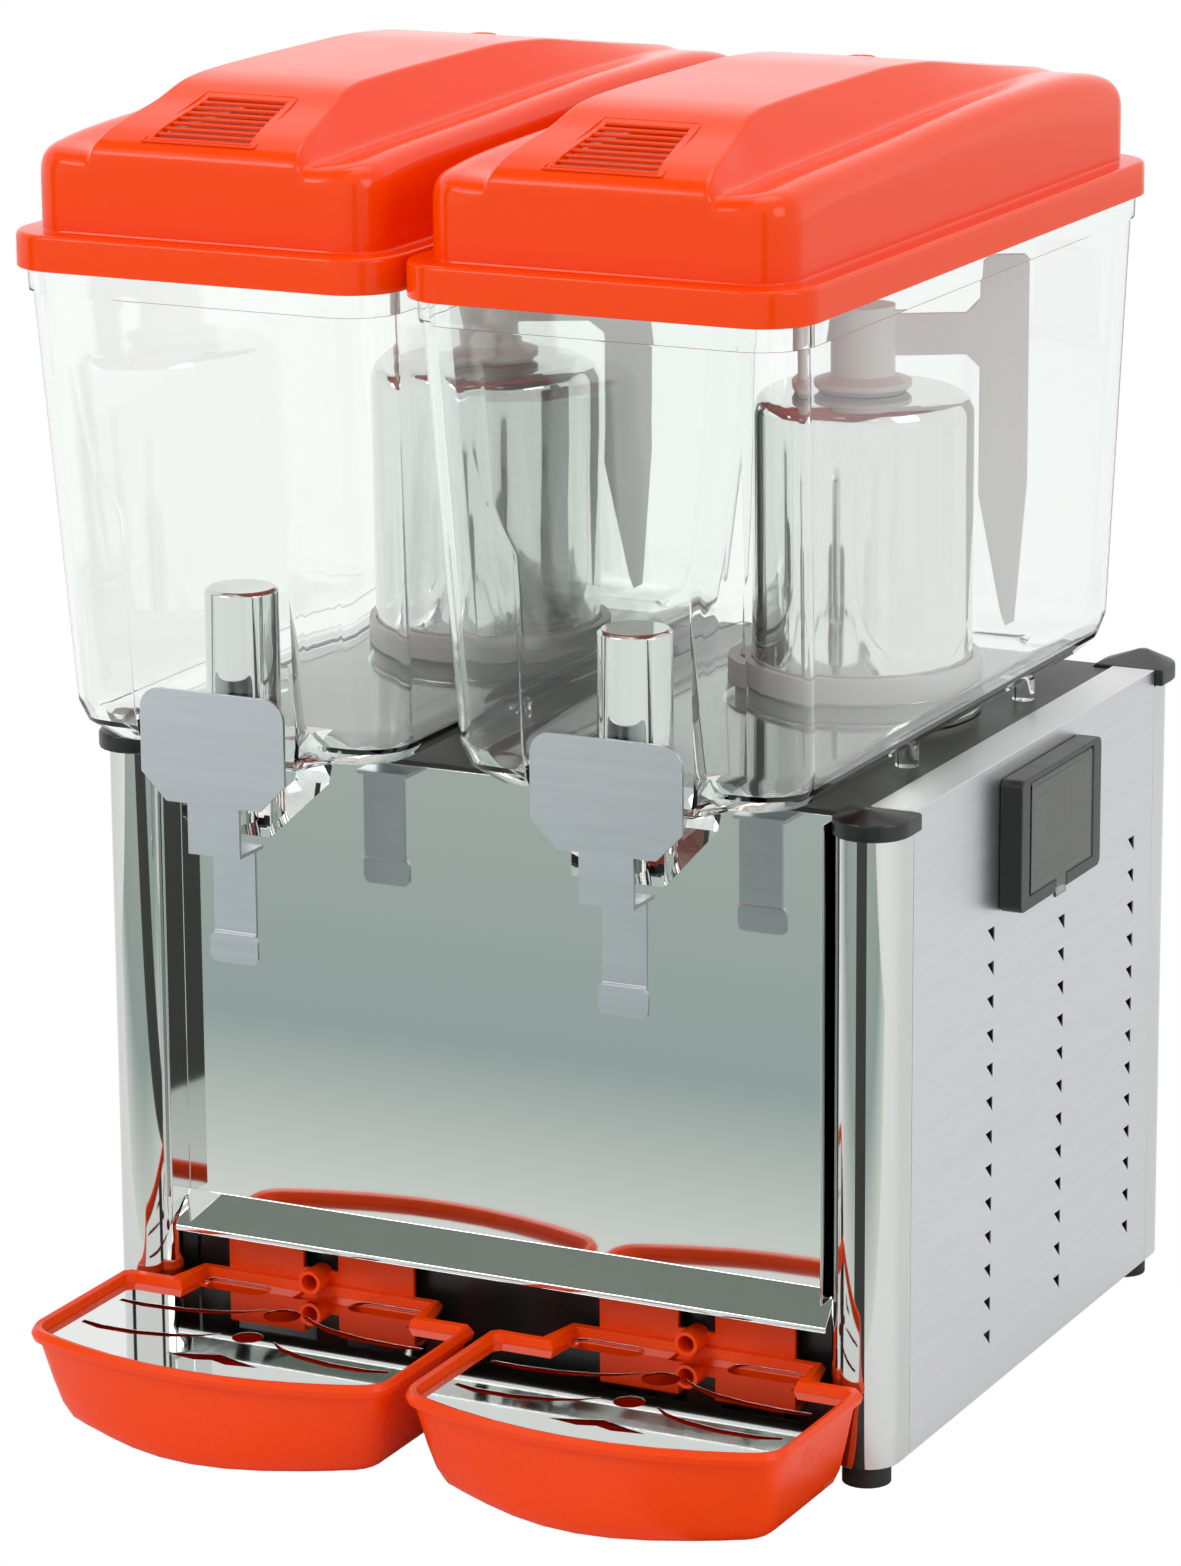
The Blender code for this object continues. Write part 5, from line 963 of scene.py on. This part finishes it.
def tub(name, outer, inner):
    """A closed shell from two stacks of open sections, joined at their feet and at both ends."""
    count, rows = len(outer[0]), len(outer)
    spots = [tuple(point) for ring in outer + inner for point in ring]
    second = rows * count
    faces = []
    for row in range(rows - 1):
        for column in range(count - 1):
            a = row * count + column
            faces.append((a, a + 1, a + count + 1, a + count))
            faces.append((second + a, second + a + count, second + a + count + 1, second + a + 1))
        a = row * count
        b = a + count - 1
        faces.append((a, a + count, second + a + count, second + a))
        faces.append((b, second + b, second + b + count, b + count))
    for row in (0, rows - 1):
        a = row * count
        b = a + count - 1
        faces.append(tuple(range(a, b + 1)))
        faces.append(tuple(range(second + b, second + a - 1, -1)))
        faces.append((a, b, second + b, second + a))
    mesh = bpy.data.meshes.new(name)
    mesh.from_pydata(spots, [], faces)
    work = bmesh.new()
    work.from_mesh(mesh)
    bmesh.ops.remove_doubles(work, verts=work.verts, dist=0.000004)
    bmesh.ops.recalc_face_normals(work, faces=work.faces)
    work.to_mesh(mesh)
    work.free()
    item = bpy.data.objects.new(name, mesh)
    bpy.context.scene.collection.objects.link(item)
    return item


FRAME_MARGIN = 0.0035
FRAME_LIFT = 0.0002
FRAME_OVERLAP = 0.0004
FRAME_HALF = 0.0005
FRAME_DEPTH = 0.0006
FRAME_ROUND = 0.0003


def vent_frame(name, x, low_z, high_z):
    """A thin raised border round the vent, following the slope."""
    parts = []
    margin = FRAME_MARGIN
    corners = [
        (x - VENT_WIDE / 2 - margin, VENT_FRONT - margin, low_z),
        (x + VENT_WIDE / 2 + margin, VENT_FRONT - margin, low_z),
        (x + VENT_NARROW / 2 + margin, VENT_FRONT + VENT_LENGTH + margin, high_z),
        (x - VENT_NARROW / 2 - margin, VENT_FRONT + VENT_LENGTH + margin, high_z),
    ]
    rise = (high_z - low_z) / VENT_LENGTH * margin
    spots = []
    for px, py, pz in corners:
        lift = rise if py > VENT_FRONT else -rise
        spots.append(Vector((px, FRONT_Y + py, pz + lift + FRAME_LIFT)))
    for index, spot in enumerate(spots):
        following = spots[(index + 1) % 4]
        run = following - spot
        matrix = Matrix.Translation((spot + following) / 2) @ run.to_track_quat("X", "Z").to_matrix().to_4x4()
        reach = run.length / 2 + FRAME_OVERLAP
        bar = box_mesh(
            "bar", -reach, reach, -FRAME_HALF, FRAME_HALF, -FRAME_DEPTH, FRAME_HALF, FRAME_ROUND
        )
        bar.data.transform(matrix)
        parts.append(bar)
    return join(name, parts)


def build_lid(side):
    """A lid: the crowned shell with its vent, the band, the slats, their border and two plugs."""
    x = BOWL_X[side]
    node = f"lid_{side}"
    shell = tub("lid_body", lid_body("outer", x), lid_body("inner", x, LID_SHEET))
    low_z, high_z = vent_slope()
    hole = skin(
        "vent_hole",
        [[(x + sx * w / 2, FRONT_Y + VENT_FRONT + dy, z + lift) for sx, w, dy, z in (
            (-1, VENT_WIDE, 0.0, low_z), (1, VENT_WIDE, 0.0, low_z),
            (1, VENT_NARROW, VENT_LENGTH, high_z), (-1, VENT_NARROW, VENT_LENGTH, high_z))]
         for lift in (-0.008, 0.005)],
        caps=(True, True),
    )
    subtract(shell, hole)
    pitch = VENT_LENGTH / VENT_SLOTS
    slat = box_mesh(
        "vent_slat", -VENT_WIDE / 2 - 0.0006, VENT_WIDE / 2 + 0.0006, -pitch * 0.31, pitch * 0.31,
        -0.0014, 0.0003, 0.0005,
    )
    run_nodes(
        slat, VENT_TREE, Count=VENT_SLOTS + 1, Pitch=pitch, Rise=(high_z - low_z) / VENT_SLOTS,
        Narrowing=(VENT_WIDE - VENT_NARROW) / VENT_WIDE / VENT_SLOTS, Material=FINISH["orange_gloss"],
    )
    slat.data.transform(Matrix.Translation((x, FRONT_Y + VENT_FRONT, low_z)))
    pieces = [shell, lid_band("lid_band", x), slat, vent_frame("vent_frame", x, low_z, high_z)]
    for plug_y in PLUG_PLACES:
        ridge = lid_heights((plug_y - LID_FRONT) / (LID_BACK - LID_FRONT))[0]
        z = LID_BASE + LID_RISE * ridge - PLUG_SUNK
        pieces.append(turned_piece(
            "lid_plug", x, FRONT_Y + plug_y,
            [(0.0, z - 0.001), (0.0074, z - 0.001), (0.0074, z + 0.0002), (0.0068, z + 0.0006),
             (0.0062, z + 0.0003), (0.0058, z + 0.0001), (0.0052, z + 0.0004), (0.0, z + 0.0007)],
        ))
    lid = smooth_by_angle(join(f"{node}_shown", pieces), SHARP_LID_ANGLE)
    weigh(lid)
    return settle(lid, node, "orange_gloss")


for side in SIDES:
    build_lid(side)
print("lids built")
